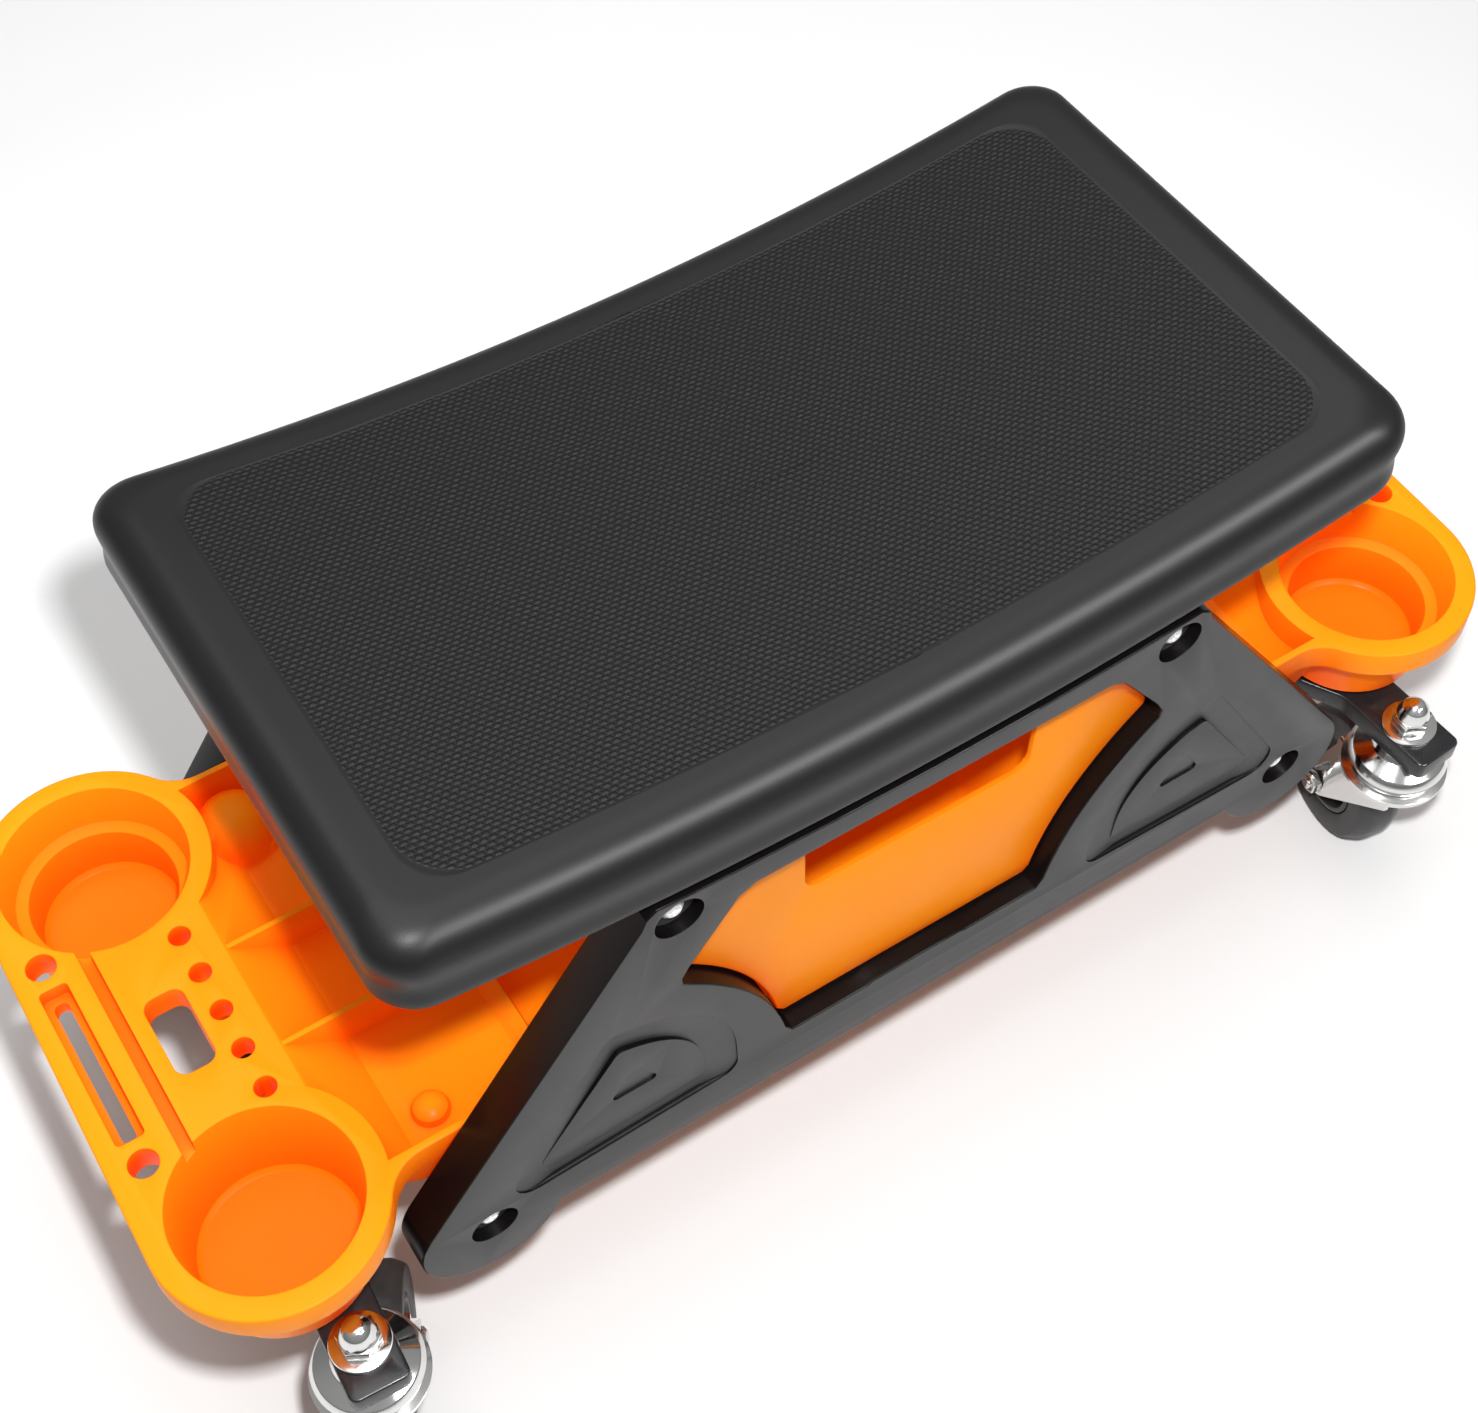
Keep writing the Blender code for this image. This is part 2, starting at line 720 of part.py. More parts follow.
def ledge_openings():
    """Everything cut into the ledge from above: tool holes, wrench slot, window and groove."""
    high = TRAY_TOP + 0.002
    low = TRAY_TOP - 0.025
    shapes = [cone((TOOL_HOLES_X, y), TOOL_HOLE_R, TOOL_HOLE_R, low, high, 14) for y in TOOL_HOLES_Y]
    for side in (-1, 1):
        shapes.append(cone((SLOT_X, side * CORNER_HOLE_Y), 0.006, 0.006, low, high, 16))
    shapes.append(plate([rounded_box(-0.2735, -0.2570, -0.0240, 0.0125, 0.0050)], low, high))
    step = rounded_box(SLOT_X - 0.0058, SLOT_X + 0.0058, -0.0373, 0.0373, 0.0020)
    shapes.append(plate([step], TRAY_TOP - 0.0075, high))
    slot = rounded_box(SLOT_X - 0.0029, SLOT_X + 0.0029, -0.0340, 0.0340, 0.0028)
    shapes.append(plate([slot], low, high))
    shapes.append(box((-0.2855, -0.0600, TRAY_TOP - 0.0060), (-0.2803, 0.0560, high)))
    return shapes


def rounded_box(x_low, x_high, y_low, y_high, radius):
    return rounded([(x_low, y_low), (x_high, y_low), (x_high, y_high), (x_low, y_high)], radius, 3)


def dividers():
    """The two thin walls between an end's three compartments."""
    half = 0.0011
    low = TRAY_TOP - FLOOR_DEPTH - 0.001
    shapes = []
    for y in (0.0184, -0.0308):
        outline = [(-0.2380, TRAY_TOP - 0.0006), (-0.2150, low), (-0.1560, low)]
        outline += [(-0.1535, TRAY_TOP - 0.0155), (-0.1900, TRAY_TOP - 0.0006)]
        shapes.append(plate([outline], y - half, y + half, upright=True))
    return shapes


def floor_domes():
    """Low round domes on the compartment floors."""
    floor = TRAY_TOP - FLOOR_DEPTH
    profile = [(0.0, floor + 0.0055), (0.0040, floor + 0.0049), (0.0068, floor + 0.0030)]
    profile += [(0.0078, floor), (0.0078, floor - 0.001), (0.0, floor - 0.001)]
    return [placed_at(turned(profile, 12), place) for place in ((-0.1975, -0.0750), (-0.1980, 0.0690))]


def corner_bulge():
    """The round bulge in the compartment beside the left end's stepped cup."""
    low = TRAY_TOP - FLOOR_DEPTH - 0.001
    profile = [(0.0, TRAY_TOP - 0.0035), (0.0080, TRAY_TOP - 0.0050), (0.0135, TRAY_TOP - 0.0090)]
    profile += [(0.0165, TRAY_TOP - 0.0150), (0.0180, low), (0.0, low)]
    return placed_at(turned(profile, 14), (-0.2060, 0.0775))


def panel_screw_bosses():
    """Blocks under the compartments that the side panels' lower screws go into."""
    half = 0.0105
    shapes = []
    for x in (-LOW_SCREW_X, LOW_SCREW_X):
        for side in (-1, 1):
            ends = sorted((side * 0.0760, side * (TRAY_SIDE_Y - 0.0008)))
            low = (x - half, ends[0], low_screw_z() - half)
            high = (x + half, ends[1], TRAY_TOP - FLOOR_DEPTH - TRAY_WALL / 2)
            shapes.append(box(low, high))
    return shapes


def tray_bores():
    """Blind bores for the crossbar bolts and the panels' lower screws."""
    shapes = []
    for place in TRAY_BOLTS:
        shapes += both_ends(cone(place, BOLT_R + GAP, BOLT_R + GAP, BAR_TOP - 0.01, BAR_TOP + 0.026, 8))
    for x in (-LOW_SCREW_X, LOW_SCREW_X):
        for side in (-1, 1):
            shapes.append(screw_bore(x, low_screw_z(), side))
    return shapes


def bay_rib():
    """The low rib across the bay that the two drawers stop against."""
    floor = TRAY_TOP - BAY_DEPTH
    return box((-0.0550, -0.0012, floor - 0.001), (0.0550, 0.0012, floor + 0.012))


def tool_tray():
    body = plate([tray_outline()], TRAY_TOP - RIM_DEPTH, TRAY_TOP, 0.0010)
    body = join(body, trough_body(), *cup_bodies(), *panel_screw_bosses())
    body = cut(body, trough_cavity(), drawer_passage(), *both_ends(ledge_pocket()))
    inner = [*ledge_collars(), *dividers(), *floor_domes()]
    inner = [shape for one in inner for shape in both_ends(one)]
    body = join(body, *inner, corner_bulge(), bay_rib())
    openings = [shape for one in ledge_openings() for shape in both_ends(one)]
    return cut(body, *cup_wells(), *openings, *tray_bores())


# ---------------------------------------------------------------- drawers


def drawer():
    """The front drawer: an open bin that fills the window, with a finger notch in its face."""
    window = mirrored(window_half(0.0))
    outside = inset(window, DRAWER_GAP)
    body = plate([lifted(outside)], -DRAWER_FACE_Y, -DRAWER_BACK_Y, 0.0010, upright=True)
    inside = inset(window, DRAWER_GAP + DRAWER_WALL)
    top = max(z for _, z in inside)
    above = [(x, z + 0.02 if z > top - 0.001 else z) for x, z in inside]
    front = -DRAWER_FACE_Y + DRAWER_WALL
    hollow = plate([lifted(above)], front, -DRAWER_BACK_Y - DRAWER_WALL, upright=True)
    notch = rounded([(-0.0510, 0.0535), (0.0510, 0.0535), (0.0530, 0.1200), (-0.0530, 0.1200)], 0.008, 4)
    grip = plate([lifted(notch)], -DRAWER_FACE_Y - 0.004, front + 0.004, upright=True)
    return cut(body, hollow, grip)


# ---------------------------------------------------------------- crossbars


BOLT_R = 0.0025


def ribbon(course, width):
    """The outline of a flat bar of even width along a course of points."""
    right = []
    left = []
    for i, point in enumerate(course):
        here = Vector(point)
        before = here - Vector(course[i - 1]) if i else Vector(course[1]) - here
        after = Vector(course[i + 1]) - here if i + 1 < len(course) else before
        middle = (before.normalized() + after.normalized()).normalized()
        across = Vector((middle.y, -middle.x)) * (width / 2 / middle.dot(before.normalized()))
        right.append(tuple(here + across))
        left.append(tuple(here - across))
    return right + left[::-1]


def crossbar():
    """The left crossbar, a flat steel bar that runs under the tray and bends outwards to its casters."""
    near, far = BAR_COURSE
    along = (Vector((KINGPIN_X, KINGPIN_Y)) - Vector(far)).normalized()
    tip = Vector((KINGPIN_X, KINGPIN_Y)) + along * BAR_OVERHANG
    half = [(-x, y) for x, y in (near, far, tip)]
    course = [(x, -y) for x, y in half[::-1]] + half
    corner = 0.0035
    bend = 0.012
    radii = [corner, bend, bend, bend, bend, corner]
    bar = plate([rounded(ribbon(course, BAR_WIDTH), radii * 2, 2)], BAR_TOP - BAR_THICK, BAR_TOP, 0.0010)
    low = BAR_TOP - BAR_THICK - 0.002
    high = BAR_TOP + 0.002
    holes = []
    for side in (-1, 1):
        holes.append(cone((-KINGPIN_X, side * KINGPIN_Y), STEM_R + GAP, STEM_R + GAP, low, high, 10))
    for place in TRAY_BOLTS:
        holes.append(cone(place, BOLT_R + GAP, BOLT_R + GAP, low, high, 8))
    return cut(bar, *holes)


def tray_bolt():
    """A hex bolt, pointing up, with its head's bearing face at the origin."""
    head = cone((0, 0), 0.0046, 0.0046, -0.0035, 0.0, 6)
    return join(head, cone((0, 0), BOLT_R, BOLT_R, -0.001, BAR_THICK + 0.022, 8))


# ---------------------------------------------------------------- casters, +X the way the wheel trails


FORK_TOP = 0.0822
FORK_UNDER = 0.0712
RACE_TOP = BAR_TOP - BAR_THICK - GAP
WASHER_THICK = 0.0016


def stem_bolt():
    head = FORK_UNDER - GAP
    top = BAR_TOP + 0.0085
    profile = [(0.0, top), (STEM_R, top - 0.001), (STEM_R, head), (0.0065, head)]
    profile += [(0.0065, head - 0.0025), (0.0, head - 0.0030)]
    return turned(profile, 10)


def washer():
    low = BAR_TOP + GAP
    high = low + WASHER_THICK
    inner = STEM_R + GAP
    return turned([(0.0120, high), (0.0123, low), (inner, low), (inner, high)], 16, closed=True)


def dome_nut():
    base = BAR_TOP + WASHER_THICK + 2 * GAP
    hexagon = cone((0, 0), 0.0088, 0.0088, base, base + 0.0062, 6)
    crown = [(0.0, base + 0.0150), (0.0034, base + 0.0142), (0.0058, base + 0.0118)]
    crown += [(0.0067, base + 0.0088), (0.0073, base + 0.0072), (0.0073, base + 0.0055), (0.0, base + 0.0055)]
    body = join(hexagon, turned(crown, 10))
    return cut(body, cone((0, 0), STEM_R + GAP, STEM_R + GAP, base - 0.002, base + 0.0082, 10))


def upper_race():
    """The dished ring between the crossbar and the fork."""
    under = FORK_TOP + GAP
    lip = 0.0772
    profile = [(0.0120, RACE_TOP), (0.0132, 0.0898), (0.0205, 0.0858), (0.0223, 0.0825)]
    profile += [(0.0213, lip), (0.0174, lip), (0.0172, under), (STEM_R + GAP, under)]
    return turned(profile + [(STEM_R + GAP, RACE_TOP)], 18, closed=True)


def fork_side_outline():
    axle = (TRAIL, WHEEL_R)
    around = arc(axle, 0.0085, 225, 365, 5)
    return around + [(0.0215, 0.0680), (0.0215, 0.0735), (-0.0185, 0.0735), (-0.0185, 0.0685)]


def fork():
    """A turned crown with two side plates that reach back to the axle."""
    crown = [(0.0163, FORK_TOP), (0.0166, 0.0768), (0.0188, 0.0757), (0.0237, 0.0746)]
    crown += [(0.0233, FORK_UNDER), (STEM_R + GAP, FORK_UNDER), (STEM_R + GAP, FORK_TOP)]
    body = turned(crown, 18, closed=True)
    plates = []
    for low in (-FORK_INSIDE - FORK_PLATE, FORK_INSIDE):
        plates.append(plate([fork_side_outline()], low, low + FORK_PLATE, upright=True))
    body = join(body, *plates)
    return cut(body, rod_along_y(TRAIL, WHEEL_R, AXLE_R + GAP, -0.02, 0.02, 8))


def fork_face():
    return FORK_INSIDE + FORK_PLATE + GAP


def lay_on_axle(mesh):
    """Turns a shape made round Z so that it lies on the wheel's axle, +Z towards -Y."""
    mesh.transform(Matrix.Rotation(math.pi / 2, 4, "X"))
    mesh.transform(Matrix.Translation((TRAIL, 0, WHEEL_R)))
    return mesh


def axle_bolt():
    face = fork_face()
    end = -face - 0.0062
    profile = [(0.0, face + 0.0032), (0.0034, face + 0.0026), (0.0052, face + 0.0010)]
    profile += [(0.0052, face), (AXLE_R, face), (AXLE_R, end + 0.0006), (0.0, end)]
    return lay_on_axle(turned(profile, 10))


def axle_nut():
    face = fork_face()
    hexagon = cone((0, 0), 0.0058, 0.0058, -face - 0.0045, -face, 6)
    return lay_on_axle(cut(hexagon, cone((0, 0), AXLE_R + GAP, AXLE_R + GAP, -face - 0.006, -face + 0.001, 8)))


def tyre():
    half = TYRE_WIDTH / 2
    inner = 0.0190
    right = [(WHEEL_R, half * 0.45), (WHEEL_R - 0.0030, half)]
    right += [(inner, half - 0.0010)]
    profile = right[::-1] + [(r, -y) for r, y in right]
    return lay_on_axle(turned(profile, 24, closed=True))


def wheel_hub():
    outer = 0.0190 - GAP
    bore = AXLE_R + GAP
    half = TYRE_WIDTH / 2
    side = [(outer, half - 0.0012), (0.0160, half - 0.0012), (0.0145, 0.0050), (0.0080, 0.0050)]
    side += [(0.0072, FORK_INSIDE - GAP * 2), (bore, FORK_INSIDE - GAP * 2)]
    profile = side[::-1] + [(r, -y) for r, y in side]
    return lay_on_axle(turned(profile, 16, closed=True))


def add_casters():
    """Each caster stands on an empty at its stem; its wheel's pieces hang on an empty at the axle."""
    still = {"stem_bolt": stem_bolt(), "washer": washer(), "dome_nut": dome_nut(), "upper_race": upper_race()}
    swivels = {"fork": fork(), "axle_bolt": axle_bolt(), "axle_nut": axle_nut()}
    rolls = {"tyre": (tyre(), "wheel_rubber"), "hub": (wheel_hub(), "hub_plastic")}
    for name, side_x, side_y, heading in CASTERS:
        stem = bpy.data.objects.new(f"caster_{name}_stem", None)
        parts.objects.link(stem)
        stem.location = (side_x * KINGPIN_X, side_y * KINGPIN_Y, 0)
        swivel = bpy.data.objects.new(f"caster_{name}_swivel", None)
        parts.objects.link(swivel)
        swivel.parent = stem
        swivel.rotation_euler = (0, 0, math.radians(heading))
        for piece, mesh in still.items():
            part(f"{name}_{piece}", mesh, "zinc_steel", stem)
        for piece, mesh in swivels.items():
            part(f"{name}_{piece}", mesh, "zinc_steel", swivel)
        axle = bpy.data.objects.new(f"caster_{name}_axle", None)
        parts.objects.link(axle)
        axle.parent = swivel
        axle.location = (TRAIL, 0, WHEEL_R)
        for piece, (mesh, material) in rolls.items():
            part(f"{name}_{piece}", mesh, material, axle, Matrix.Translation((-TRAIL, 0, -WHEEL_R)))


# ---------------------------------------------------------------- the object


def add_side(name, mesh_panel, mesh_drawer, mesh_screw, turn):
    """One long side: its panel, drawer and four screws, made at the front and turned into place."""
    part(f"{name}_side_panel", mesh_panel, "black_plastic", matrix=turn)
    part(f"{name}_drawer", mesh_drawer, "orange_plastic", matrix=turn)
    seat_y = -PANEL_OUT_Y + RECESS_DEPTH - GAP
    labels = ("left_top", "left_low", "right_top", "right_low")
    for label, (x, z) in zip(labels, screw_places()):
        place = turn @ Matrix.Translation((x, seat_y, z))
        part(f"{name}_screw_{label}", mesh_screw, "zinc_steel", matrix=place)


def add_crossbars():
    bar = crossbar()
    bolt = tray_bolt()
    head_z = BAR_TOP - BAR_THICK - GAP
    for name, angle in (("left", 0), ("right", 180)):
        turn = Matrix.Rotation(math.radians(angle), 4, "Z")
        part(f"{name}_crossbar", bar, "black_steel", matrix=turn)
        for label, (x, y) in zip(("a", "b"), TRAY_BOLTS):
            place = turn @ Matrix.Translation((x, y, head_z))
            part(f"{name}_tray_bolt_{label}", bolt, "zinc_steel", matrix=place)


def bring_to_size():
    """Scales everything about the origin so that the seat has its real length."""
    ratio = SEAT_REAL_LENGTH / SEAT_LENGTH
    for mesh in {obj.data for obj in parts.objects if obj.data}:
        mesh.transform(Matrix.Scale(ratio, 4))
    for obj in parts.objects:
        obj.location *= ratio


def build():
    part("seat_cushion", seat_cushion(), "seat_vinyl", smooth_angle=50.0)
    part("seat_pan", seat_pan(), "black_plastic")
    part("tool_tray", tool_tray(), "orange_plastic")
    panel = side_panel()
    bin_mesh = drawer()
    screw = panel_screw()
    add_side("front", panel, bin_mesh, screw, Matrix.Identity(4))
    add_side("rear", panel, bin_mesh, screw, Matrix.Rotation(math.pi, 4, "Z"))
    add_crossbars()
    add_casters()
    bring_to_size()


clear_scene()
parts = make_collection(OBJECT_NAME)
tools = make_collection("cutters")
materials = {name: make_material(name) for name in MATERIALS}
build()
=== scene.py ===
"""The looks of the rolling mechanic's seat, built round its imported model: metres, +Z up.

Shapes are drawn to the same sizes as the model's, with finer curves and rounded edges, and are then
scaled by UNIT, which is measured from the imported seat.
"""

import json
import math

import bmesh
import bpy
from mathutils import Matrix, Vector

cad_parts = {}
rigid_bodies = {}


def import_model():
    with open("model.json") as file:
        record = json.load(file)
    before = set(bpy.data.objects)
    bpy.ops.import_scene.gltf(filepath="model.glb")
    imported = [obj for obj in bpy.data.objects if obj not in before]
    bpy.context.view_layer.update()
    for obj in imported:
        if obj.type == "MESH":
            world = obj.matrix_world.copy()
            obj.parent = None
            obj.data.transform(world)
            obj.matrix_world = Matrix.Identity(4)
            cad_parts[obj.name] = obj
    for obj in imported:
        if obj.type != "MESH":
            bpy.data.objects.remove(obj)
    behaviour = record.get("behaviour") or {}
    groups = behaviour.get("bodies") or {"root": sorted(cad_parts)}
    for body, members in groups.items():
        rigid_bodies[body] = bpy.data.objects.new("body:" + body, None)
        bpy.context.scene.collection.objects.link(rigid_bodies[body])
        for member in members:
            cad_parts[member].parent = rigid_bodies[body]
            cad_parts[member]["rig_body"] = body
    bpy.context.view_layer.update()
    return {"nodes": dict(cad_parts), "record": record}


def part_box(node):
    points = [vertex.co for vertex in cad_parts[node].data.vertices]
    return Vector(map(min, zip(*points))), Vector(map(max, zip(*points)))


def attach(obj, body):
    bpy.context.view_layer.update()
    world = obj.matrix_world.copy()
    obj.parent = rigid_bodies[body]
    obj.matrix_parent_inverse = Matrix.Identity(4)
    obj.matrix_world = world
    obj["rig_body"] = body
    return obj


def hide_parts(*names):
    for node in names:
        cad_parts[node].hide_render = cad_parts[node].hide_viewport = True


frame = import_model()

GAP = 0.0003  # clearance between neighbouring pieces
FINE = 3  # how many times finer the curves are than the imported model's

# Seat
SEAT_LENGTH = 0.4312
SEAT_WIDTH = 0.2362
SEAT_X = -0.001
SEAT_Y = 0.0015
SEAT_CORNER_R = 0.0175
SEAT_TOP_Z = 0.3232  # at the raised ends
SEAT_SADDLE = 0.019  # how far the middle lies below the ends
CUSHION_THICK = 0.037
PANEL_INSET_X = 0.0262  # from the seat's edge to the woven panel
PANEL_INSET_Y = 0.0212
PANEL_CORNER_R = 0.0215
PAN_THICK = 0.003
SEAT_STRIPS = 10


# Side panels, in the X-Z plane
PANEL_OUT_Y = 0.1164
PANEL_THICK = 0.018
PANEL_EDGE = 0.001
PANEL_WALL = 0.0032
PANEL_FACE = 0.0045
TOP_SCREW_X = 0.1095
LOW_SCREW_X = 0.1954
LOW_SCREWS = [(x, side) for x in (-LOW_SCREW_X, LOW_SCREW_X) for side in (-1, 1)]
RECESS_R = 0.01
RECESS_DEPTH = 0.006
BOWL_STEP = 0.001
BOWL_DEPTH = 0.0025
RELIEF_ARC = (0.15, -0.02)  # centre of the reliefs' curved side

# Tray
TRAY_TOP = 0.157
TRAY_SIDE_Y = 0.0978
TRAY_WALL = 0.003
RIM_DEPTH = 0.014
FLOOR_DEPTH = 0.0215
BAY_DEPTH = 0.0301
END_WALL_X = 0.236
PLAIN_CUP = (-0.2675, -0.0841)
STEP_CUP = (-0.264, 0.0788)
PLAIN_RIM_R = 0.046
STEP_RIM_R = 0.047
PLAIN_WELL_R = 0.0365
STEP_WELL_R = 0.0385
CUP_DEPTH = 0.043
RIM_FILLET = 0.02

# Drawers
DRAWER_GAP = 0.0012
DRAWER_WALL = 0.0025
DRAWER_FACE_Y = 0.1082
DRAWER_BACK_Y = 0.006

# Crossbars and casters
KINGPIN_X = 0.2596
KINGPIN_Y = 0.1288
BAR_WIDTH = 0.0245
BAR_TOP = 0.103
BAR_THICK = 0.01
BAR_COURSE = ((0.2385, 0.065), (0.2577, 0.098))  # where each half of a bar bends
BAR_OVERHANG = 0.02
STEM_R = 0.004
WHEEL_R = 0.033
TYRE_WIDTH = 0.023
TRAIL = 0.026
AXLE_R = 0.003
FORK_INSIDE = 0.0133
FORK_PLATE = 0.002
CASTERS = (  # name, X side, Y side, heading of the trailing wheel in degrees
    ("left_front", -1, -1, 63),
    ("right_front", 1, -1, 80),
    ("left_rear", -1, 1, -30),
    ("right_rear", 1, 1, -108),
)
TRAY_BOLTS = ((-0.2445, -0.0345), (-0.2445, 0.0227))


# --- working meshes

UPRIGHT = Matrix.Rotation(math.pi / 2, 4, "X")  # stands a flat shape up, +Z towards -Y
tools = bpy.data.collections.new("tools")
bpy.context.scene.collection.children.link(tools)


def as_tool(mesh, name="tool"):
    """A mesh as a hidden working shape, to join to or cut from a part."""
    obj = bpy.data.objects.new(name, mesh)
    obj.hide_render = True
    obj.display_type = "WIRE"
    tools.objects.link(obj)
    return obj


def baked(obj):
    """The mesh an object's modifiers or curve settings make, in world space; the object goes."""
    graph = bpy.context.evaluated_depsgraph_get()
    mesh = bpy.data.meshes.new_from_object(obj.evaluated_get(graph))
    mesh.transform(obj.matrix_world)
    bpy.data.objects.remove(obj)
    return mesh


def carve(mesh, operation, shapes):
    """The mesh joined with, or cut by, each of the shapes in turn."""
    base = as_tool(mesh, "base")
    others = [as_tool(shape) for shape in shapes]
    for other in others:
        boolean = base.modifiers.new("carve", "BOOLEAN")
        boolean.operation = operation
        boolean.object = other
    result = baked(base)
    for other in others:
        bpy.data.objects.remove(other)
    return result


def join(mesh, *shapes):
    return carve(mesh, "UNION", shapes)


def cut(mesh, *shapes):
    return carve(mesh, "DIFFERENCE", shapes)


# --- plain shapes


def from_bmesh(bm):
    mesh = bpy.data.meshes.new("shape")
    bm.to_mesh(mesh)
    bm.free()
    return mesh


def box(low, high):
    low, high = Vector(low), Vector(high)
    bm = bmesh.new()
    placed = Matrix.Translation((low + high) / 2) @ Matrix.Diagonal((*(high - low), 1.0))
    bmesh.ops.create_cube(bm, size=1.0, matrix=placed)
    return from_bmesh(bm)


def frustum(placed, segments, radii, depth):
    """A cylinder or cone; six segments stay a hexagon."""
    segments = segments * FINE if segments > 6 else segments
    bm = bmesh.new()
    shape = dict(segments=segments, radius1=radii[0], radius2=radii[1], depth=depth)
    bmesh.ops.create_cone(bm, cap_ends=True, matrix=placed, **shape)
    return from_bmesh(bm)


def cone(centre, radius_low, radius_high, z_low, z_high, segments):
    """A cylinder or cone standing along Z, at centre (x, y)."""
    placed = Matrix.Translation((*centre, (z_low + z_high) / 2))
    return frustum(placed, segments, (radius_low, radius_high), z_high - z_low)


def rod(centre, radius, z_low, z_high, segments):
    return cone(centre, radius, radius, z_low, z_high, segments)


def rod_along_y(x, z, radius, y_low, y_high, segments):
    placed = Matrix.Translation((x, (y_low + y_high) / 2, z)) @ UPRIGHT
    return frustum(placed, segments, (radius, radius), y_high - y_low)


def turned(profile, steps=20, closed=False):
    """A profile of (radius, z) points, down its outer side, turned round the Z axis."""
    steps *= FINE
    bm = bmesh.new()
    verts = [bm.verts.new((radius, 0.0, z)) for radius, z in profile]
    for first, second in zip(verts, verts[1:]):
        bm.edges.new((first, second))
    if closed:
        bm.edges.new((verts[-1], verts[0]))
    obj = as_tool(from_bmesh(bm), "turned")
    screw = obj.modifiers.new("turn", "SCREW")
    screw.steps = steps
    screw.render_steps = steps
    screw.use_merge_vertices = True
    screw.merge_threshold = 0.00001
    return baked(obj)


def plate(loops, low, high, edge=0.0, upright=False):
    """Flat outlines, holes included, given thickness from low to high along Z.

    An upright plate has its outline in the X-Z plane and its thickness along Y.
    """
    curve = bpy.data.curves.new("outline", "CURVE")
    curve.dimensions = "2D"
    curve.fill_mode = "BOTH"
    curve.extrude = (high - low) / 2 - edge
    curve.bevel_depth = edge
    curve.bevel_resolution = 2
    curve.offset = -edge
    for loop in loops:
        spline = curve.splines.new("POLY")
        spline.points.add(len(loop) - 1)
        for point, (x, y) in zip(spline.points, loop):
            point.co = (x, y, 0.0, 1.0)
        spline.use_cyclic_u = True
    obj = bpy.data.objects.new("outline", curve)
    tools.objects.link(obj)
    mesh = baked(obj)
    bm = bmesh.new()
    bm.from_mesh(mesh)
    bmesh.ops.remove_doubles(bm, verts=bm.verts, dist=0.00001)
    bmesh.ops.recalc_face_normals(bm, faces=bm.faces)
    middle = (low + high) / 2
    if upright:
        bmesh.ops.transform(bm, matrix=UPRIGHT, verts=bm.verts)
    bmesh.ops.translate(bm, vec=(0, middle, 0) if upright else (0, 0, middle), verts=bm.verts)
    return from_bmesh(bm)


def loft(loops, places):
    """A solid through equally long outlines in the X-Z plane, each at its place along Y."""
    bm = bmesh.new()
    rows = []
    for loop, y in zip(loops, places):
        rows.append([bm.verts.new((x, y, z)) for x, z in loop])
    for row, other in zip(rows, rows[1:]):
        for i in range(len(row)):
            bm.faces.new((row[i - 1], row[i], other[i], other[i - 1]))
    bm.faces.new(rows[0])
    bm.faces.new(rows[-1])
    bmesh.ops.recalc_face_normals(bm, faces=bm.faces)
    return from_bmesh(bm)


def turned_round(mesh, angle):
    """A copy of the mesh, turned about Z by an angle in degrees."""
    copy = mesh.copy()
    copy.transform(Matrix.Rotation(math.radians(angle), 4, "Z"))
    return copy


def both_ends(mesh):
    """The mesh and its copy at the tray's other end."""
    return [mesh, turned_round(mesh, 180)]


# --- outlines


def arc(centre, radius, start, end, steps):
    """Points on a circle, from one angle to another in degrees."""
    steps *= FINE
    points = []
    for i in range(steps + 1):
        angle = math.radians(start + (end - start) * i / steps)
        points.append((centre[0] + radius * math.cos(angle), centre[1] + radius * math.sin(angle)))
    return points


def bowed(start, end, rise, steps):
    """Points on the arc from start to end that rises to the left of the chord."""
    chord = Vector(end) - Vector(start)
    left = Vector((-chord.y, chord.x)).normalized()
    steps *= FINE
    points = []
    for i in range(steps + 1):
        share = i / steps
        point = Vector(start) + chord * share + left * (4 * rise * share * (1 - share))
        points.append(tuple(point))
    return points


def rounded(corners, radius, steps=4):
    """A polygon with rounded corners: one radius for all, or a list with zeros for sharp ones."""
    radii = radius if isinstance(radius, list) else [radius] * len(corners)
    steps *= 2
    points = []
    for i, corner in enumerate(corners):
        here = Vector(corner)
        if not radii[i]:
            points.append(tuple(here))
            continue
        before = (Vector(corners[i - 1]) - here).normalized()
        after = (Vector(corners[(i + 1) % len(corners)]) - here).normalized()
        half = before.angle(after) / 2
        reach = radii[i] / math.tan(half)
        centre = here + (before + after).normalized() * (radii[i] / math.sin(half))
        first = here + before * reach - centre
        last = here + after * reach - centre
        sweep = first.angle_signed(last)
        for k in range(steps + 1):
            turn = Matrix.Rotation(-sweep * k / steps, 2)
            points.append(tuple(centre + turn @ first))
    return points


def inset(points, distance):
    """A polygon, given anticlockwise, moved inwards by a distance."""
    moved = []
    count = len(points)
    for i in range(count):
        before = Vector(points[i]) - Vector(points[i - 1])
        after = Vector(points[(i + 1) % count]) - Vector(points[i])
        normal_before = Vector((-before.y, before.x)).normalized()
        normal_after = Vector((-after.y, after.x)).normalized()
        middle = (normal_before + normal_after).normalized()
        moved.append(tuple(Vector(points[i]) + middle * (distance / middle.dot(normal_before))))
    return moved


def mirrored(half):
    """An outline from its right half, bottom to top, with the left half added."""
    return half + [(-x, y) for x, y in reversed(half)]


# --- seat


def saddle(x):
    """How far the seat lies below its ends, at x."""
    share = x / (SEAT_LENGTH / 2)
    return SEAT_SADDLE * (1 - share * share)


def pan_top():
    return SEAT_TOP_Z - CUSHION_THICK - GAP


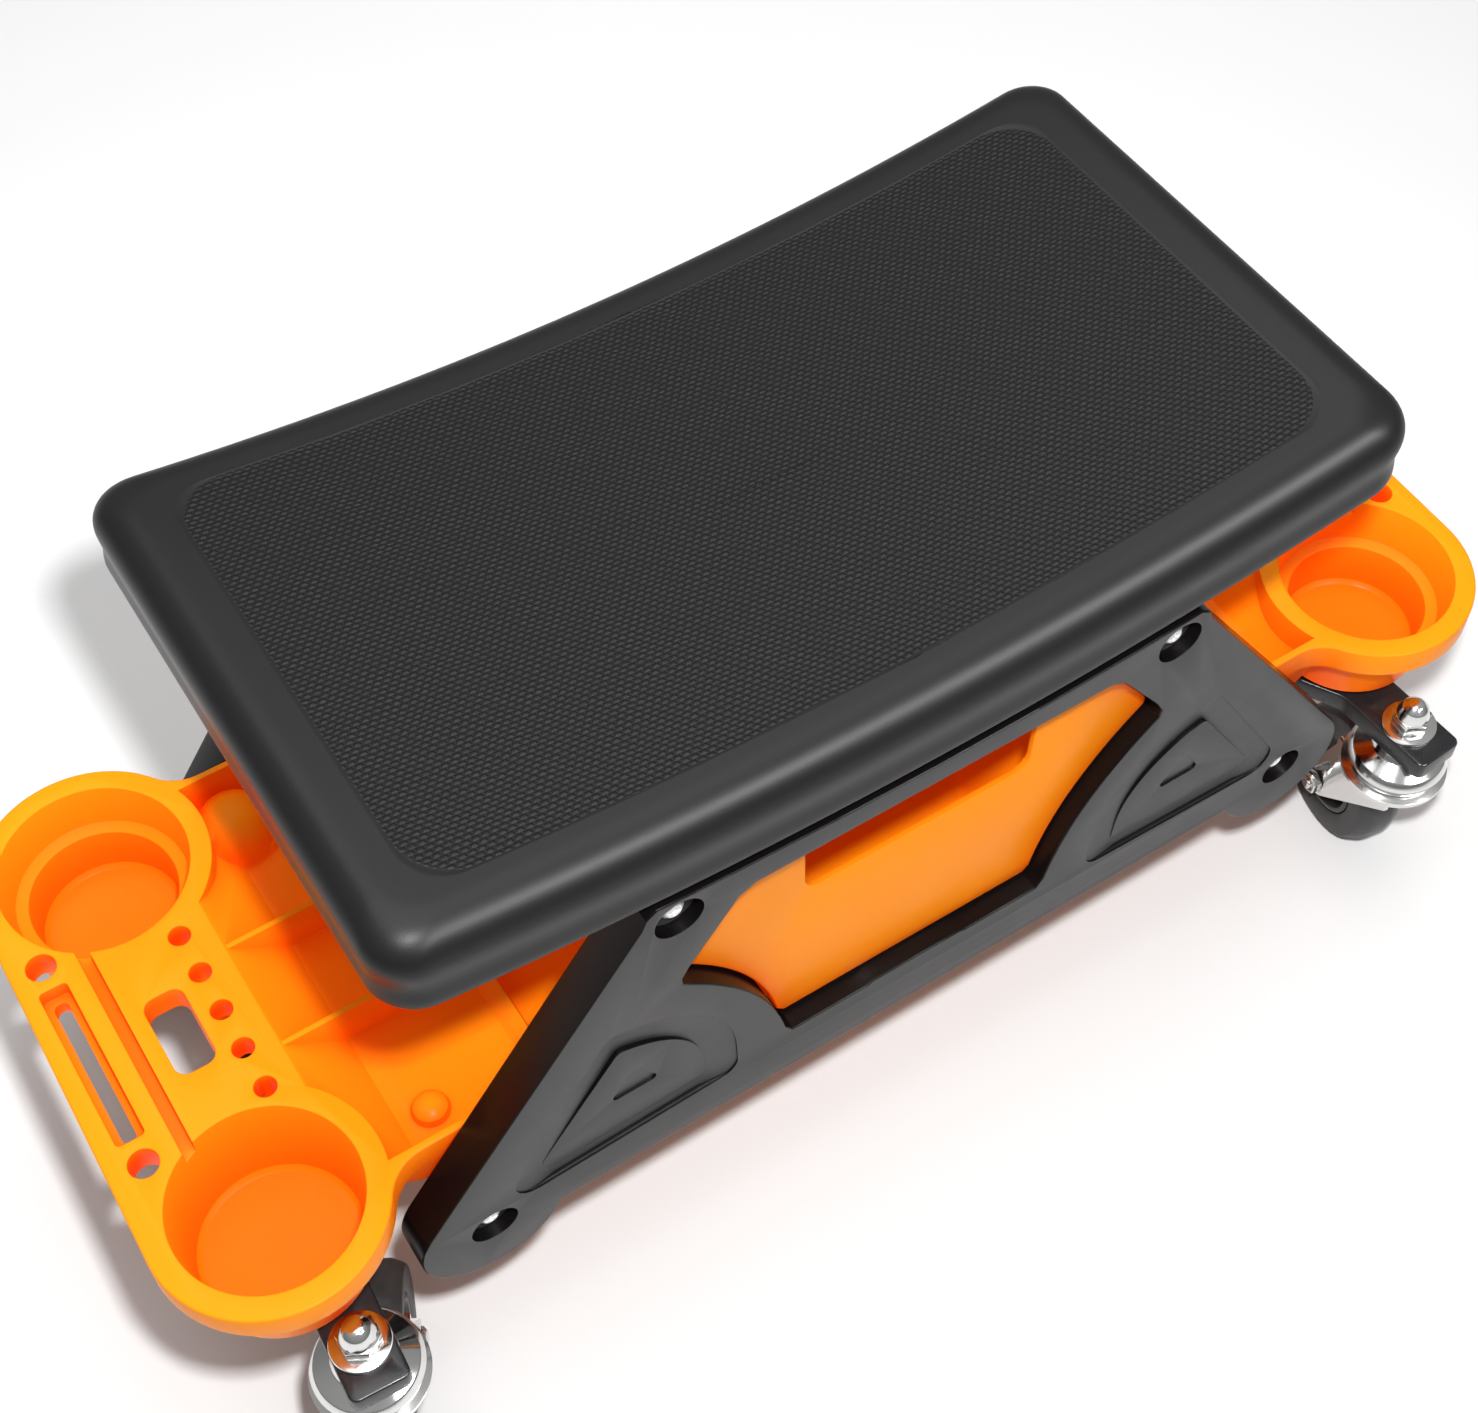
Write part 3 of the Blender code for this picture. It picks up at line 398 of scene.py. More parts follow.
def pan_bottom(x):
    """Height of the pan's underside, which is straight between the strips' edges."""
    strip = SEAT_LENGTH / SEAT_STRIPS
    before = math.floor(x / strip) * strip
    share = (x - before) / strip
    return pan_top() - PAN_THICK - saddle(before) * (1 - share) - saddle(before + strip) * share


# --- side panels


def top_screw_z():
    return TRAY_TOP + 0.0995


def low_screw_z():
    return TRAY_TOP - 0.0512


def screw_bore(x, z, side):
    """A blind hole for a panel screw, from outside the panel inwards."""
    ends = sorted((side * 0.0808, side * (PANEL_OUT_Y + 0.002)))
    return rod_along_y(x, z, SCREW_R + GAP, *ends, 8)


def window_half(notch):
    """The right half of the drawer window; notch lowers the outer parts of its sill."""
    sill = -0.031
    low = sill - notch
    bottom = [(0.0215, sill), (0.024, low), (0.0595, low)] if notch else [(0.0595, sill)]
    flank = bowed((0.063, -0.027), (0.1085, 0.052), 0.0078, 5)
    return bottom + flank + [(0.109, 0.056), (0.106, 0.062), (0.085, 0.0915), (0.078, 0.095)]


def lifted(points):
    """Points given from the tray's top plane, measured from the floor."""
    return [(x, z + TRAY_TOP) for x, z in points]


def panel_outline():
    """The panel's edge: saddle under the seat, slanted ends and two round feet."""
    foot = (0.196, -0.0528)
    radius = 0.0305
    top_x = 0.118
    bottom = -0.0625
    heel = math.degrees(math.asin((bottom - foot[1]) / radius))
    round_foot = arc(foot, radius, -180 - heel, 32, 10)
    shoulder = [(0.1245, 0.104), (0.1225, 0.109)]
    strip = SEAT_LENGTH / SEAT_STRIPS
    top = [(x, pan_bottom(x) - 2 * GAP - TRAY_TOP) for x in (top_x, 2 * strip, strip, 0.0)]
    half = round_foot + shoulder + top
    return lifted(half + [(-x, z) for x, z in reversed(half[:-1])])


def relief_outline(near, far, radius, start, rounds):
    """A triangle beside the window, on the +X side: its two lower corners, the radius of its curved
    side, the angle where that starts, and the radii of its three corners.
    """
    curve = arc(RELIEF_ARC, radius, start, 176, 6)
    return lifted(rounded([near, far] + curve, [*rounds] + [0] * (len(curve) - 1), 3))


def on_both_sides(outline):
    """An outline on the +X side and its mirror image, both anticlockwise."""
    return [[(side * x, z) for x, z in outline][::side] for side in (1, -1)]


def relief_solid(outline, low, high, level, lean):
    """A relief's two solids, between two distances behind the panel's face. The distances hold at
    the height level above the tray's top, and change by lean with the height above that.
    """
    shear = Matrix.Identity(4)
    shear[1][2] = lean
    shear[1][3] = -lean * (level + TRAY_TOP)
    shapes = []
    for loop in on_both_sides(outline):
        shapes.append(plate([loop], -PANEL_OUT_Y + low, -PANEL_OUT_Y + high, upright=True))
        shapes[-1].transform(shear)
    return shapes


def relief_bowl():
    """The triangular hollows: a low step all round, then a slope in to the floor."""
    rim = relief_outline((0.085, -0.038), (0.193, -0.0425), 0.064, 98, (0.008, 0.01, 0.005))
    floor = relief_outline((0.0985, -0.0377), (0.177, -0.0409), 0.05, 105, (0.005, 0.006, 0.003))
    places = [-PANEL_OUT_Y + depth for depth in (-0.0002, BOWL_STEP, BOWL_DEPTH)]
    rims, floors = on_both_sides(rim), on_both_sides(floor)
    return [loft((edge, edge, sunk), places) for edge, sunk in zip(rims, floors)]


def relief_wedge():
    """The triangle inside each hollow, high at its top, that meets the floor at its lower edge."""
    rounds = (0.005, 0.006, 0.003)
    outline = relief_outline((0.0995, -0.033), (0.1765, -0.035), 0.05, 105, rounds)
    return relief_solid(outline, BOWL_DEPTH - 0.0002, 0.0043, -0.034, -0.034)


def relief_notch():
    """The small triangle sunk in the middle, deepest at its lower edge."""
    outline = lifted(rounded([(0.119, -0.0098), (0.142, -0.0098), (0.131, 0.0085)], 0.0025, 3))
    return relief_solid(outline, -0.01, 0.0029, -0.0098, -0.11)


def panel_pocket():
    """The hollow back of a panel, inside walls along its edge and round the window."""
    edge = inset(panel_outline(), PANEL_WALL)
    window = inset(lifted(mirrored(window_half(0.0))), -PANEL_WALL)
    inner_y = -PANEL_OUT_Y + PANEL_THICK
    return plate([edge, window], -PANEL_OUT_Y + PANEL_FACE, inner_y + 0.002, upright=True)


def screw_boss(x, z):
    low = -PANEL_OUT_Y + PANEL_FACE / 2
    high = -PANEL_OUT_Y + PANEL_THICK - GAP
    return rod_along_y(x, z, RECESS_R + 0.0018, low, high, 14)


def screw_hole(x, z):
    """A counterbored screw hole through a panel, wide end outwards."""
    deep = PANEL_THICK + 0.002
    bore = SCREW_R + GAP
    profile = [(0.0, 0.002), (RECESS_R, 0.002), (RECESS_R, -RECESS_DEPTH), (bore, -RECESS_DEPTH)]
    hole = turned(profile + [(bore, -deep), (0.0, -deep)], 16)
    hole.transform(Matrix.Translation((x, -PANEL_OUT_Y, z)) @ UPRIGHT)
    return hole


def side_panel():
    """The front panel; the rear one is the same piece turned half round."""
    inner_y = -PANEL_OUT_Y + PANEL_THICK
    window = lifted(mirrored(window_half(0.0012)))
    body = plate([panel_outline(), window], -PANEL_OUT_Y, inner_y, PANEL_EDGE, upright=True)
    body = cut(body, *relief_bowl(), panel_pocket())
    body = cut(join(body, *relief_wedge()), *relief_notch())
    body = join(body, *[screw_boss(x, z) for x, z in screw_places()])
    return cut(body, *[screw_hole(x, z) for x, z in screw_places()])


def screw_places():
    """(x, z) of a side panel's four screws."""
    pair = ((TOP_SCREW_X, top_screw_z()), (LOW_SCREW_X, low_screw_z()))
    return [(side * x, z) for side in (-1, 1) for x, z in pair]


SCREW_R = 0.002
SCREW_HEAD_R = 0.0046
SCREW_HEAD = 0.0026
SCREW_LENGTH = 0.026


def panel_screw():
    """A pan-head screw with a cross recess, head towards -Y, seat of the head at the origin."""
    head = [(0.0, SCREW_HEAD), (0.003, SCREW_HEAD), (SCREW_HEAD_R, SCREW_HEAD * 0.45)]
    shank = [(SCREW_R, 0.0), (SCREW_R, -SCREW_LENGTH + 0.003), (0.0, -SCREW_LENGTH)]
    body = turned(head + [(SCREW_HEAD_R, 0.0)] + shank, 8)
    length, width, depth = 0.0024, 0.0006, 0.0014
    low, high = SCREW_HEAD - depth, SCREW_HEAD + depth
    body = cut(body, *[box((-x, -y, low), (x, y, high)) for x, y in ((length, width), (width, length))])
    body.transform(UPRIGHT)
    return body


# --- tray


def tray_end_outline():
    """The -X end of the tray's rim, anticlockwise from the rear side wall to the front one."""
    points = []
    for centre, rim, side in ((STEP_CUP, STEP_RIM_R, 1), (PLAIN_CUP, PLAIN_RIM_R, -1)):
        wall = side * TRAY_SIDE_Y - centre[1]
        drop = abs(wall) + RIM_FILLET
        reach = math.sqrt((rim + RIM_FILLET) ** 2 - drop * drop)
        fillet = (centre[0] + reach, side * (TRAY_SIDE_Y + RIM_FILLET))
        meet = math.degrees(math.atan2(side * drop, reach))
        wall_to_rim = arc(fillet, RIM_FILLET, -side * 90, meet - side * 180, 3)
        round_rim = arc(centre, rim, meet, side * 180, 11)
        stretch = wall_to_rim + round_rim[1:]
        points += stretch if side > 0 else stretch[::-1]
    return points


def tray_outline():
    end = tray_end_outline()
    return end + [(-x, -y) for x, y in end]


def trough_body():
    """The outside of the tool compartments and of the drawer bay between them."""
    low = FLOOR_DEPTH + TRAY_WALL
    bay = BAY_DEPTH + TRAY_WALL
    half = [(0.144, -bay), (0.158, -low - 0.0005), (0.213, -low), (0.24, -0.002)]
    outline = lifted(mirrored(half))
    side = TRAY_SIDE_Y - 0.0004
    return plate([outline], -side, side, upright=True)


def trough_cavity():
    """The room inside the compartments and the drawer bay, clear of the cups."""
    inner_y = TRAY_SIDE_Y - TRAY_WALL
    half = [
        (0.147, -BAY_DEPTH),
        (0.1505, -0.015),
        (0.1575, -FLOOR_DEPTH),
        (0.2105, -FLOOR_DEPTH),
        (END_WALL_X, 0.0005),
        (END_WALL_X, 0.002),
    ]
    room = plate([lifted(mirrored(half))], -inner_y, inner_y, upright=True)
    rims = []
    for cup, rim in ((PLAIN_CUP, PLAIN_RIM_R), (STEP_CUP, STEP_RIM_R)):
        wall = cone(cup, rim - 0.001, rim - 0.0002, TRAY_TOP - 0.05, TRAY_TOP + 0.01, 30)
        rims += both_ends(wall)
    return cut(room, *rims)


def drawer_passage():
    """The opening in the tray's long sides that the drawers slide through."""
    half = 0.113
    return box((-half, -0.11, TRAY_TOP - BAY_DEPTH - 0.0002), (half, 0.11, TRAY_TOP + 0.003))


def in_cups(plain, step):
    """Two profiles turned, in all plain and stepped cups."""
    shapes = []
    for profile, cup in ((plain, PLAIN_CUP), (step, STEP_CUP)):
        shapes += both_ends(placed_at(turned(profile, 24), cup))
    return shapes


def cup_bodies():
    top = TRAY_TOP - 0.004
    plain = [(0.0, top), (0.042, top), (0.04, TRAY_TOP - RIM_DEPTH), (0.0345, TRAY_TOP - 0.0465)]
    plain += [(0.0, TRAY_TOP - 0.0465)]
    step = [(0.0, top), (0.0425, top), (0.039, TRAY_TOP - 0.0225), (0.034, TRAY_TOP - 0.0255)]
    step += [(0.0322, TRAY_TOP - 0.046), (0.0, TRAY_TOP - 0.046)]
    return in_cups(plain, step)


def cup_wells():
    ledge = TRAY_TOP - 0.0195
    over = TRAY_TOP + 0.002
    floor = TRAY_TOP - CUP_DEPTH
    slope = (PLAIN_WELL_R - 0.031) / CUP_DEPTH
    plain = [(0.0, over), (PLAIN_WELL_R + 0.002 * slope, over), (0.032, floor + 0.002)]
    plain += [(0.03, floor), (0.0, floor)]
    step = [(0.0, over), (STEP_WELL_R, over), (0.035, ledge), (0.03, ledge - 0.001)]
    step += [(0.0285, floor + 0.002), (0.0265, floor), (0.0, floor)]
    return in_cups(plain, step)


def placed_at(mesh, centre):
    mesh.transform(Matrix.Translation((*centre, 0)))
    return mesh


TOOL_HOLES_X = -0.248
TOOL_HOLES_Y = tuple(0.0322 - 0.01905 * i for i in range(5))
TOOL_HOLE_R = 0.0045
SLOT_X = -0.29885
CORNER_HOLE_Y = 0.048
POCKET_TOP = 0.003
COLLAR_LOW = 0.0135


def ledge_pocket():
    """The hollow underside of the flat ledge between two cups."""
    return box((-0.3085, -0.036, TRAY_TOP - 0.02), (-0.2425, 0.029, TRAY_TOP - POCKET_TOP))


def ledge_collars():
    """The walls under the ledge around its holes, and the two bosses that stand on the crossbar."""
    low = TRAY_TOP - COLLAR_LOW
    high = TRAY_TOP - POCKET_TOP / 2
    shapes = [cone((TOOL_HOLES_X, y), 0.0065, 0.0068, low, high, 8) for y in TOOL_HOLES_Y]
    shapes.append(box((-0.276, -0.0266, low), (-0.2546, 0.0151, high)))
    shapes.append(box((-0.3075, -0.038, low), (-0.2778, 0.031, high)))
    shapes += [cone(place, 0.0056, 0.0062, BAR_TOP + GAP, high, 8) for place in TRAY_BOLTS]
    return shapes


def ledge_openings():
    """Everything cut into the ledge from above: tool holes, wrench slot, window and groove."""
    high = TRAY_TOP + 0.002
    low = TRAY_TOP - 0.025
    shapes = [rod((TOOL_HOLES_X, y), TOOL_HOLE_R, low, high, 14) for y in TOOL_HOLES_Y]
    for side in (-1, 1):
        shapes.append(rod((SLOT_X, side * CORNER_HOLE_Y), 0.006, low, high, 16))
    shapes.append(plate([rounded_box(-0.2735, -0.257, -0.024, 0.0125, 0.005)], low, high))
    step = rounded_box(SLOT_X - 0.0058, SLOT_X + 0.0058, -0.0373, 0.0373, 0.002)
    shapes.append(plate([step], TRAY_TOP - 0.0075, high))
    slot = rounded_box(SLOT_X - 0.0029, SLOT_X + 0.0029, -0.034, 0.034, 0.0028)
    shapes.append(plate([slot], low, high))
    shapes.append(box((-0.2855, -0.06, TRAY_TOP - 0.006), (-0.2803, 0.056, high)))
    return shapes


def rounded_box(x_low, x_high, y_low, y_high, radius):
    return rounded([(x_low, y_low), (x_high, y_low), (x_high, y_high), (x_low, y_high)], radius, 3)


def dividers():
    """The two thin walls between an end's three compartments."""
    half = 0.0011
    low = TRAY_TOP - FLOOR_DEPTH - 0.001
    shapes = []
    for y in (0.0184, -0.0308):
        outline = [(-0.238, TRAY_TOP - 0.0006), (-0.215, low), (-0.156, low)]
        outline += [(-0.1535, TRAY_TOP - 0.0155), (-0.19, TRAY_TOP - 0.0006)]
        shapes.append(plate([outline], y - half, y + half, upright=True))
    return shapes


def floor_domes():
    """Low round domes on the compartment floors."""
    floor = TRAY_TOP - FLOOR_DEPTH
    profile = [(0.0, floor + 0.0055), (0.004, floor + 0.0049), (0.0068, floor + 0.003)]
    profile += [(0.0078, floor), (0.0078, floor - 0.001), (0.0, floor - 0.001)]
    return [placed_at(turned(profile, 12), place) for place in ((-0.1975, -0.075), (-0.198, 0.069))]


def corner_bulge():
    """The round bulge in the compartment beside the left end's stepped cup."""
    low = TRAY_TOP - FLOOR_DEPTH - 0.001
    profile = [(0.0, TRAY_TOP - 0.0035), (0.008, TRAY_TOP - 0.005), (0.0135, TRAY_TOP - 0.009)]
    profile += [(0.0165, TRAY_TOP - 0.015), (0.018, low), (0.0, low)]
    return placed_at(turned(profile, 14), (-0.206, 0.0775))


def panel_screw_bosses():
    """Blocks under the compartments that the side panels' lower screws go into."""
    half = 0.0105
    top = TRAY_TOP - FLOOR_DEPTH - TRAY_WALL / 2
    shapes = []
    for x, side in LOW_SCREWS:
        ends = sorted((side * 0.076, side * (TRAY_SIDE_Y - 0.0008)))
        shapes.append(box((x - half, ends[0], low_screw_z() - half), (x + half, ends[1], top)))
    return shapes


def tray_bores():
    """Blind bores for the crossbar bolts and the panels' lower screws."""
    shapes = []
    for place in TRAY_BOLTS:
        shapes += both_ends(rod(place, BOLT_R + GAP, BAR_TOP - 0.01, BAR_TOP + 0.026, 8))
    return shapes + [screw_bore(x, low_screw_z(), side) for x, side in LOW_SCREWS]


def bay_rib():
    """The low rib across the bay that the two drawers stop against."""
    floor = TRAY_TOP - BAY_DEPTH
    return box((-0.055, -0.0012, floor - 0.001), (0.055, 0.0012, floor + 0.012))


def tool_tray():
    body = plate([tray_outline()], TRAY_TOP - RIM_DEPTH, TRAY_TOP, 0.001)
    body = join(body, trough_body(), *cup_bodies(), *panel_screw_bosses())
    body = cut(body, trough_cavity(), drawer_passage(), *both_ends(ledge_pocket()))
    inner = [*ledge_collars(), *dividers(), *floor_domes()]
    inner = [shape for one in inner for shape in both_ends(one)]
    body = join(body, *inner, corner_bulge(), bay_rib())
    openings = [shape for one in ledge_openings() for shape in both_ends(one)]
    return cut(body, *cup_wells(), *openings, *tray_bores())


# --- drawers


def drawer():
    """The front drawer: an open bin that fills the window, with a finger notch in its face."""
    window = mirrored(window_half(0.0))
    outside = inset(window, DRAWER_GAP)
    body = plate([lifted(outside)], -DRAWER_FACE_Y, -DRAWER_BACK_Y, 0.001, upright=True)
    inside = inset(window, DRAWER_GAP + DRAWER_WALL)
    top = max(z for _, z in inside)
    above = [(x, z + 0.02 if z > top - 0.001 else z) for x, z in inside]
    front = -DRAWER_FACE_Y + DRAWER_WALL
    hollow = plate([lifted(above)], front, -DRAWER_BACK_Y - DRAWER_WALL, upright=True)
    notch = [(-0.051, 0.0535), (0.051, 0.0535), (0.053, 0.12), (-0.053, 0.12)]
    notch = rounded(notch, 0.008)
    grip = plate([lifted(notch)], -DRAWER_FACE_Y - 0.004, front + 0.004, upright=True)
    return cut(body, hollow, grip)


# --- crossbars


BOLT_R = 0.0025


def ribbon(course, width):
    """The outline of a flat bar of even width along a course of points."""
    right = []
    left = []
    for i, point in enumerate(course):
        here = Vector(point)
        before = here - Vector(course[i - 1]) if i else Vector(course[1]) - here
        after = Vector(course[i + 1]) - here if i + 1 < len(course) else before
        middle = (before.normalized() + after.normalized()).normalized()
        across = Vector((middle.y, -middle.x)) * (width / 2 / middle.dot(before.normalized()))
        right.append(tuple(here + across))
        left.append(tuple(here - across))
    return right + left[::-1]


def crossbar():
    """The left crossbar: a flat bar under the tray, bent outwards to its two casters."""
    near, far = BAR_COURSE
    kingpin = Vector((KINGPIN_X, KINGPIN_Y))
    tip = kingpin + (kingpin - Vector(far)).normalized() * BAR_OVERHANG
    half = [(-x, y) for x, y in (near, far, tip)]
    course = [(x, -y) for x, y in half[::-1]] + half
    corner, bend = 0.0035, 0.012
    edge = rounded(ribbon(course, BAR_WIDTH), [corner, bend, bend, bend, bend, corner] * 2, 2)
    bar = plate([edge], BAR_TOP - BAR_THICK, BAR_TOP, 0.001)
    low = BAR_TOP - BAR_THICK - 0.002
    high = BAR_TOP + 0.002
    stems = [(-KINGPIN_X, side * KINGPIN_Y) for side in (-1, 1)]
    holes = [rod(place, STEM_R + GAP, low, high, 10) for place in stems]
    return cut(bar, *holes, *[rod(place, BOLT_R + GAP, low, high, 8) for place in TRAY_BOLTS])


def tray_bolt():
    """A hex bolt, pointing up, with its head's bearing face at the origin."""
    head = rod((0, 0), 0.0046, -0.0035, 0.0, 6)
    return join(head, rod((0, 0), BOLT_R, -0.001, BAR_THICK + 0.022, 8))


# --- casters, +X the way the wheel trails


FORK_TOP = 0.0822
FORK_UNDER = 0.0712
RACE_TOP = BAR_TOP - BAR_THICK - GAP
WASHER_THICK = 0.0016


def stem_bolt():
    head = FORK_UNDER - GAP
    top = BAR_TOP + 0.0085
    profile = [(0.0, top), (STEM_R, top - 0.001), (STEM_R, head), (0.0065, head)]
    profile += [(0.0065, head - 0.0025), (0.0, head - 0.003)]
    return turned(profile, 10)


def washer():
    low = BAR_TOP + GAP
    high = low + WASHER_THICK
    inner = STEM_R + GAP
    return turned([(0.012, high), (0.0123, low), (inner, low), (inner, high)], 16, closed=True)


def dome_nut():
    base = BAR_TOP + WASHER_THICK + 2 * GAP
    hexagon = rod((0, 0), 0.0088, base, base + 0.0062, 6)
    dome = [(0.0, 0.015), (0.0034, 0.0142), (0.0058, 0.0118), (0.0067, 0.0088)]
    dome += [(0.0073, 0.0072), (0.0073, 0.0055), (0.0, 0.0055)]
    body = join(hexagon, turned([(r, base + z) for r, z in dome], 10))
    return cut(body, rod((0, 0), STEM_R + GAP, base - 0.002, base + 0.0082, 10))


def upper_race():
    """The dished ring between the crossbar and the fork."""
    under, lip, bore = FORK_TOP + GAP, 0.0772, STEM_R + GAP
    profile = [(0.012, RACE_TOP), (0.0132, 0.0898), (0.0205, 0.0858), (0.0223, 0.0825)]
    profile += [(0.0213, lip), (0.0174, lip), (0.0172, under), (bore, under), (bore, RACE_TOP)]
    return turned(profile, 18, closed=True)


def fork_side_outline():
    axle = (TRAIL, WHEEL_R)
    around = arc(axle, 0.0085, 225, 365, 5)
    return around + [(0.0215, 0.068), (0.0215, 0.0735), (-0.0185, 0.0735), (-0.0185, 0.0685)]


def fork():
    """A turned crown with two side plates that reach back to the axle."""
    crown = [(0.0163, FORK_TOP), (0.0166, 0.0768), (0.0188, 0.0757), (0.0237, 0.0746)]
    crown += [(0.0233, FORK_UNDER), (STEM_R + GAP, FORK_UNDER), (STEM_R + GAP, FORK_TOP)]
    body = turned(crown, 18, closed=True)
    plates = []
    for low in (-FORK_INSIDE - FORK_PLATE, FORK_INSIDE):
        plates.append(plate([fork_side_outline()], low, low + FORK_PLATE, upright=True))
    body = join(body, *plates)
    return cut(body, rod_along_y(TRAIL, WHEEL_R, AXLE_R + GAP, -0.02, 0.02, 8))


def fork_face():
    return FORK_INSIDE + FORK_PLATE + GAP


def lay_on_axle(mesh):
    """Turns a shape made round Z so that it lies on the wheel's axle, +Z towards -Y."""
    mesh.transform(UPRIGHT)
    mesh.transform(Matrix.Translation((TRAIL, 0, WHEEL_R)))
    return mesh


def axle_bolt():
    face = fork_face()
    end = -face - 0.0062
    profile = [(0.0, face + 0.0032), (0.0034, face + 0.0026), (0.0052, face + 0.001)]
    profile += [(0.0052, face), (AXLE_R, face), (AXLE_R, end + 0.0006), (0.0, end)]
    return lay_on_axle(turned(profile, 10))


def axle_nut():
    face = fork_face()
    hexagon = rod((0, 0), 0.0058, -face - 0.0045, -face, 6)
    return lay_on_axle(cut(hexagon, rod((0, 0), AXLE_R + GAP, -face - 0.006, -face + 0.001, 8)))


def tyre():
    half = TYRE_WIDTH / 2
    inner = 0.019
    right = [(WHEEL_R, half * 0.45), (WHEEL_R - 0.003, half), (inner, half - 0.001)]
    profile = right[::-1] + [(r, -y) for r, y in right]
    return lay_on_axle(turned(profile, 24, closed=True))


def wheel_hub():
    outer = 0.019 - GAP
    bore = AXLE_R + GAP
    half = TYRE_WIDTH / 2
    side = [(outer, half - 0.0012), (0.016, half - 0.0012), (0.0145, 0.005), (0.008, 0.005)]
    side += [(0.0072, FORK_INSIDE - GAP * 2), (bore, FORK_INSIDE - GAP * 2)]
    profile = side[::-1] + [(r, -y) for r, y in side]
    return lay_on_axle(turned(profile, 16, closed=True))


# --- the cushion


RING_STEPS = 12  # points round each corner
LONG_STEPS = 96  # points along each long side
SHORT_STEPS = 48
TOP_ROUND = 0.0155
LOW_ROUND = 0.0034
WEAVE_SINK = 0.0004  # the woven panel lies this far below its smooth border
CROWN = 0.0012  # how far the middle of the woven panel stands above its edge, across the seat
SIDE_WAIST = 0.0007  # how far the upright sides draw in half way up


def seat_ring(inset_x, inset_y, radius):
    """Points round the seat in plan, anticlockwise, moved in from its edge."""
    half_x = SEAT_LENGTH / 2 - inset_x
    half_y = SEAT_WIDTH / 2 - inset_y
    radius = max(0.0004, min(radius, half_x, half_y))
    corners = []
    for side_x, side_y, start in ((1, -1, -90), (1, 1, 0), (-1, 1, 90), (-1, -1, 180)):
        centre = Vector((side_x * (half_x - radius), side_y * (half_y - radius)))
        angles = [math.radians(start + 90 * k / RING_STEPS) for k in range(RING_STEPS + 1)]
        corners.append([centre + radius * Vector((math.cos(a), math.sin(a))) for a in angles])
    ring = []
    for i, corner in enumerate(corners):
        goal = corners[(i + 1) % 4][0]
        steps = LONG_STEPS if i % 2 else SHORT_STEPS
        ring += corner + [corner[-1].lerp(goal, k / steps) for k in range(1, steps)]
    return ring


def crown(x, y):
    """The gentle rise of the woven panel towards its middle."""
    across = y / (SEAT_WIDTH / 2 - PANEL_INSET_Y)
    along = x / (SEAT_LENGTH / 2 - PANEL_INSET_X)
    return CROWN * max(0.0, 1 - across**2) * max(0.0, 1 - along**8)


def cushion_profile():
    """(inset x, inset y, depth below the top, corner radius, crowned) of each ring, from the
    underside up the side and over the top to the middle.
    """
    rings = []

    def add(inset, depth, radius=SEAT_CORNER_R, crowned=False, edge=(0.0, 0.0)):
        rings.append((edge[0] + inset, edge[1] + inset, depth, radius, crowned))

    for share in (0.94, 0.6, 0.3, 0.1):
        add(SEAT_WIDTH / 2 * share, CUSHION_THICK)
    for k in range(5):
        angle = math.radians(90 * k / 4)
        add(LOW_ROUND * (1 - math.sin(angle)), CUSHION_THICK - LOW_ROUND * (1 - math.cos(angle)))
    side_low = CUSHION_THICK - LOW_ROUND
    for k in range(1, 8):
        share = k / 8
        add(SIDE_WAIST * math.sin(math.pi * share) ** 2, side_low + (TOP_ROUND - side_low) * share)
    for k in range(15):
        angle = math.radians(90 * k / 14)
        add(TOP_ROUND * (1 - math.cos(angle)), TOP_ROUND * (1 - math.sin(angle)))
    for share in (0.35, 0.7, 0.9):
        radius = SEAT_CORNER_R + (PANEL_CORNER_R - SEAT_CORNER_R) * share
        border = [(inset - TOP_ROUND) * share for inset in (PANEL_INSET_X, PANEL_INSET_Y)]
        add(TOP_ROUND, 0.0, radius, False, border)
    panel = (PANEL_INSET_X, PANEL_INSET_Y)
    lip = ((-0.0012, 0.0), (-0.0005, 0.15), (0.0002, 0.5), (0.0009, 0.85), (0.0018, 1.0))
    for offset, sink in lip:
        add(offset, sink * WEAVE_SINK, PANEL_CORNER_R, True, panel)
    for k in range(1, 25):
        inset = (SEAT_WIDTH / 2 - PANEL_INSET_Y) * k / 25
        add(inset, WEAVE_SINK, PANEL_CORNER_R - inset * 0.7, True, panel)
    return rings


def cushion_mesh():
    """The moulded seat: a closed skin of rings, saddle-shaped along it and crowned across it."""
    bm = bmesh.new()
    rows = []
    for inset_x, inset_y, depth, radius, crowned in cushion_profile():
        shrink = 0.0 if depth > CUSHION_THICK * 0.9 else max(inset_x, inset_y)
        row = []
        for point in seat_ring(inset_x, inset_y, max(radius - shrink * 0.15, 0.0004)):
            height = SEAT_TOP_Z - depth - saddle(point.x)
            if crowned:
                height += crown(point.x, point.y)
            row.append(bm.verts.new((point.x + SEAT_X, point.y + SEAT_Y, height)))
        rows.append(row)
    count = len(rows[0])
    for low, high in zip(rows, rows[1:]):
        for i in range(count):
            j = (i + 1) % count
            bm.faces.new((low[i], low[j], high[j], high[i]))
    for row in (rows[0], rows[-1]):
        edges = [bm.edges.get((row[i - 1], row[i])) for i in range(count)]
        bmesh.ops.triangle_fill(bm, use_beauty=True, edges=edges)
    bmesh.ops.recalc_face_normals(bm, faces=bm.faces)
    return from_bmesh(bm)


# --- materials


